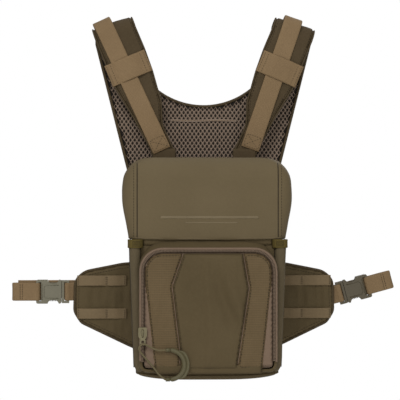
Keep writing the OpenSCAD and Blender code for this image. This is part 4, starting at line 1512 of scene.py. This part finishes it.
def wing(side, word):
    outline = outline_of("wing_pad_" + word)

    def relief(x, z, e):
        between = math.exp(-((z + 30) / 13) ** 2) + 0.45 * math.exp(-((z + 66) / 12) ** 2)
        folds = between * 2.4 * noise.noise(Vector((x / 6.0, z / 55, 51.0 + side)))
        pull_in = -0.9 * sum(math.exp(-((z - band_z) / 5) ** 2) for band_z in (UPPER_BAND, LOWER_BAND))
        return 0.4 + folds + pull_in + 0.9 * wrinkle(x, z, 55.0 + side, length=17, stretch=1.3)

    pad = slab("wing_pad_" + word + "_cloth", outline, WING_FRONT + 0.4, WING_REAR, pack_cloth,
               step=2.4, lip=2.5, crown=0.7, crown_reach=14, relief=relief,
               rear_relief=lambda x, z, e: 0.4 * wrinkle(x, z, 58.0, length=20, stretch=1.4),
               body="wing_" + word, slot="pack_nylon", replaces=["wing_pad_" + word], fill=0.6)
    edge = [(x, (WING_FRONT + WING_REAR) / 2, z) for x, z in spaced(outline, 2.5, closed=True)]
    tubes("wing_pad_" + word + "_binding", [edge], 1.6, binding_cloth, sides=8, flatten=1.5,
          closed=True, body="wing_" + word, slot="pack_nylon")
    tree = surface_of(pad)
    run = faced(tree, inset(outline, 4.2, 2.0))
    stitches("wing_pad_" + word + "_stitches", [run], dark_thread, "wing_" + word, "pack_nylon",
             length=2.0, pitch=3.0, thick=0.5)
    low, high = box_mm("wing_bands_" + word)
    start, stop = sorted((abs(low[0]), abs(high[0])))
    for name, z in (("upper", UPPER_BAND), ("lower", LOWER_BAND)):
        path = []
        for x, lift in ((start - 3, 0.5), (start + 2, 0.8), (start + 5, 1.7), (97, 2.1), (104, 1.5),
                        (107, 0.9), (110, 1.5), (122, 2.3), (stop - 6, 1.9), (stop - 2.5, 1.0),
                        (stop, 0.8)):
            path.append((side * x, WING_FRONT - lift, z))
        covers = ["wing_bands_" + word] if name == "upper" else []
        made = ribbon("wing_band_" + name + "_" + word, path, (0, 0, 1), 11.4, 1.6, band_cloth,
                      sway=0.4, body="wing_" + word, slot="webbing", replaces=covers)
        tree = surface_of(made)
        runs = [run_on(tree, [(side * x, z - 4.6), (side * x, z + 4.6)], step=1.2)
                for x in (start - 0.5, 106.4, 107.6, stop - 1.5)]
        stitches("wing_band_" + name + "_stitches_" + word, runs, dark_thread, "wing_" + word,
                 "webbing", length=1.7, pitch=2.2, thick=0.5)


for side, word in SIDES:
    wing(side, word)
    joining("wing_root_" + word, [(side * 53.5, -7.3, -40), (side * 57, -6.8, -40),
                                  (side * 61, -4.5, -40), (side * 65, -1.8, -40),
                                  (side * 73, -1.3, -40)],
            (0, 0, 1), 84, 1.2, pack_cloth,
            "pack_nylon")


# ------------------------------------------------------------------ belt webbing and buckles

WING_REACH = 142.0
LOOP_END = 64


def buckle(side, word, level, tilt, material):
    angle = math.radians(tilt)
    way = np.array((side * math.cos(angle), 0, math.sin(angle)))
    up = np.array((-side * math.sin(angle), 0, math.cos(angle)))
    depth = np.array((0.0, 1.0, 0.0))
    base = np.array((side * WING_REACH, -1.0, level))

    def at(u, y, rise=0.0):
        return base + way * u + depth * y + up * rise

    body = "wing_" + word
    far = "socket_" + word
    for node in ("buckle_plug_" + word, "buckle_socket_" + word, "latch_upper_" + word,
                 "latch_lower_" + word):
        bevelled(node, material, 0.7, 3)
    path = [at(-24, 0.2), at(-12, 0.1), at(0, -0.3), at(4, -1.0), at(6.4, -2.8), at(8.3, -3.6),
            at(10.2, -2.6), at(10.6, 0.2), at(9.2, 2.6), at(6, 2.9), at(0, 1.6), at(-8, 1.2)]
    ribbon("belt_web_" + word + "_webbing", path, up, 19.6, 1.5, web_cloth, body=body,
           slot="webbing", replaces=["belt_web_" + word])
    path = [at(34.6, 3.4), at(37.9, 1.0), at(38.2, -2.4), at(40.4, -4.4), at(43, -3.0), at(50, -2.3),
            at(58, -2.2)]
    for k in range(9):
        a = math.pi * k / 8
        path.append(at(LOOP_END + 3.7 * math.sin(a), 1.6 - 3.7 * math.cos(a)))
    path.append(at(LOOP_END - 5, 5.0))
    loop = ribbon("belt_loop_" + word + "_webbing", path, up, 19.6, 1.7, web_cloth, body=far,
                  slot="webbing", replaces=["belt_loop_" + word])
    rise = 2.5 if side < 0 else 0
    path = [at(u, 5.3 + 0.25 * math.sin(u * 0.09), rise) for u in range(-76, 65, 6)]
    ribbon("rear_web_" + word + "_webbing", path, up, 19.8, 1.7, web_cloth, body=far, slot="webbing",
           replaces=["rear_web_" + word])
    tree = surface_of(loop)
    runs = []
    for u in (57.0, 59.4):
        a, b = at(u, 0, -8.6), at(u, 0, 8.6)
        runs.append(run_on(tree, [(a[0], a[2]), (b[0], b[2])], step=1.2))
    stitches("belt_loop_" + word + "_stitches", runs, dark_thread, far, "webbing", length=1.9,
             pitch=2.6, thick=0.55)
    frames = []
    for y in (-4.1, 4.1):
        frames.append([at(17.5, y, -7.2), at(31, y, -7.2), at(33.2, y, -5), at(33.2, y, 5),
                       at(31, y, 7.2), at(17.5, y, 7.2)])
    tubes("buckle_frame_lines_" + word, frames, 0.45, material, sides=8, body=far, slot="buckle")
    ribs = []
    for u in (35.0, 36.0, 39.9, 40.9):
        ribs.append([at(u, -4.0, -9), at(u, -4.15, 0), at(u, -4.0, 9)])
    tubes("buckle_grip_lines_" + word, ribs, 0.35, material, sides=6, body=far, slot="buckle")
    pads = {"upper": [], "lower": []}
    for name, sign in (("upper", 1), ("lower", -1)):
        for k in range(6):
            u = 19.2 + 1.7 * k
            pads[name].append([at(u, -1.5, sign * 9.5), at(u, 0, sign * 10.1), at(u, 1.5, sign * 9.5)])
        tubes("latch_ridges_" + name + "_" + word, pads[name], 0.5, material, sides=6,
              body="latch_" + name + "_" + word, slot="buckle")


buckle(-1, "left", -24.5, 0, pale_buckle)
buckle(1, "right", -29.0, 15, dark_buckle)
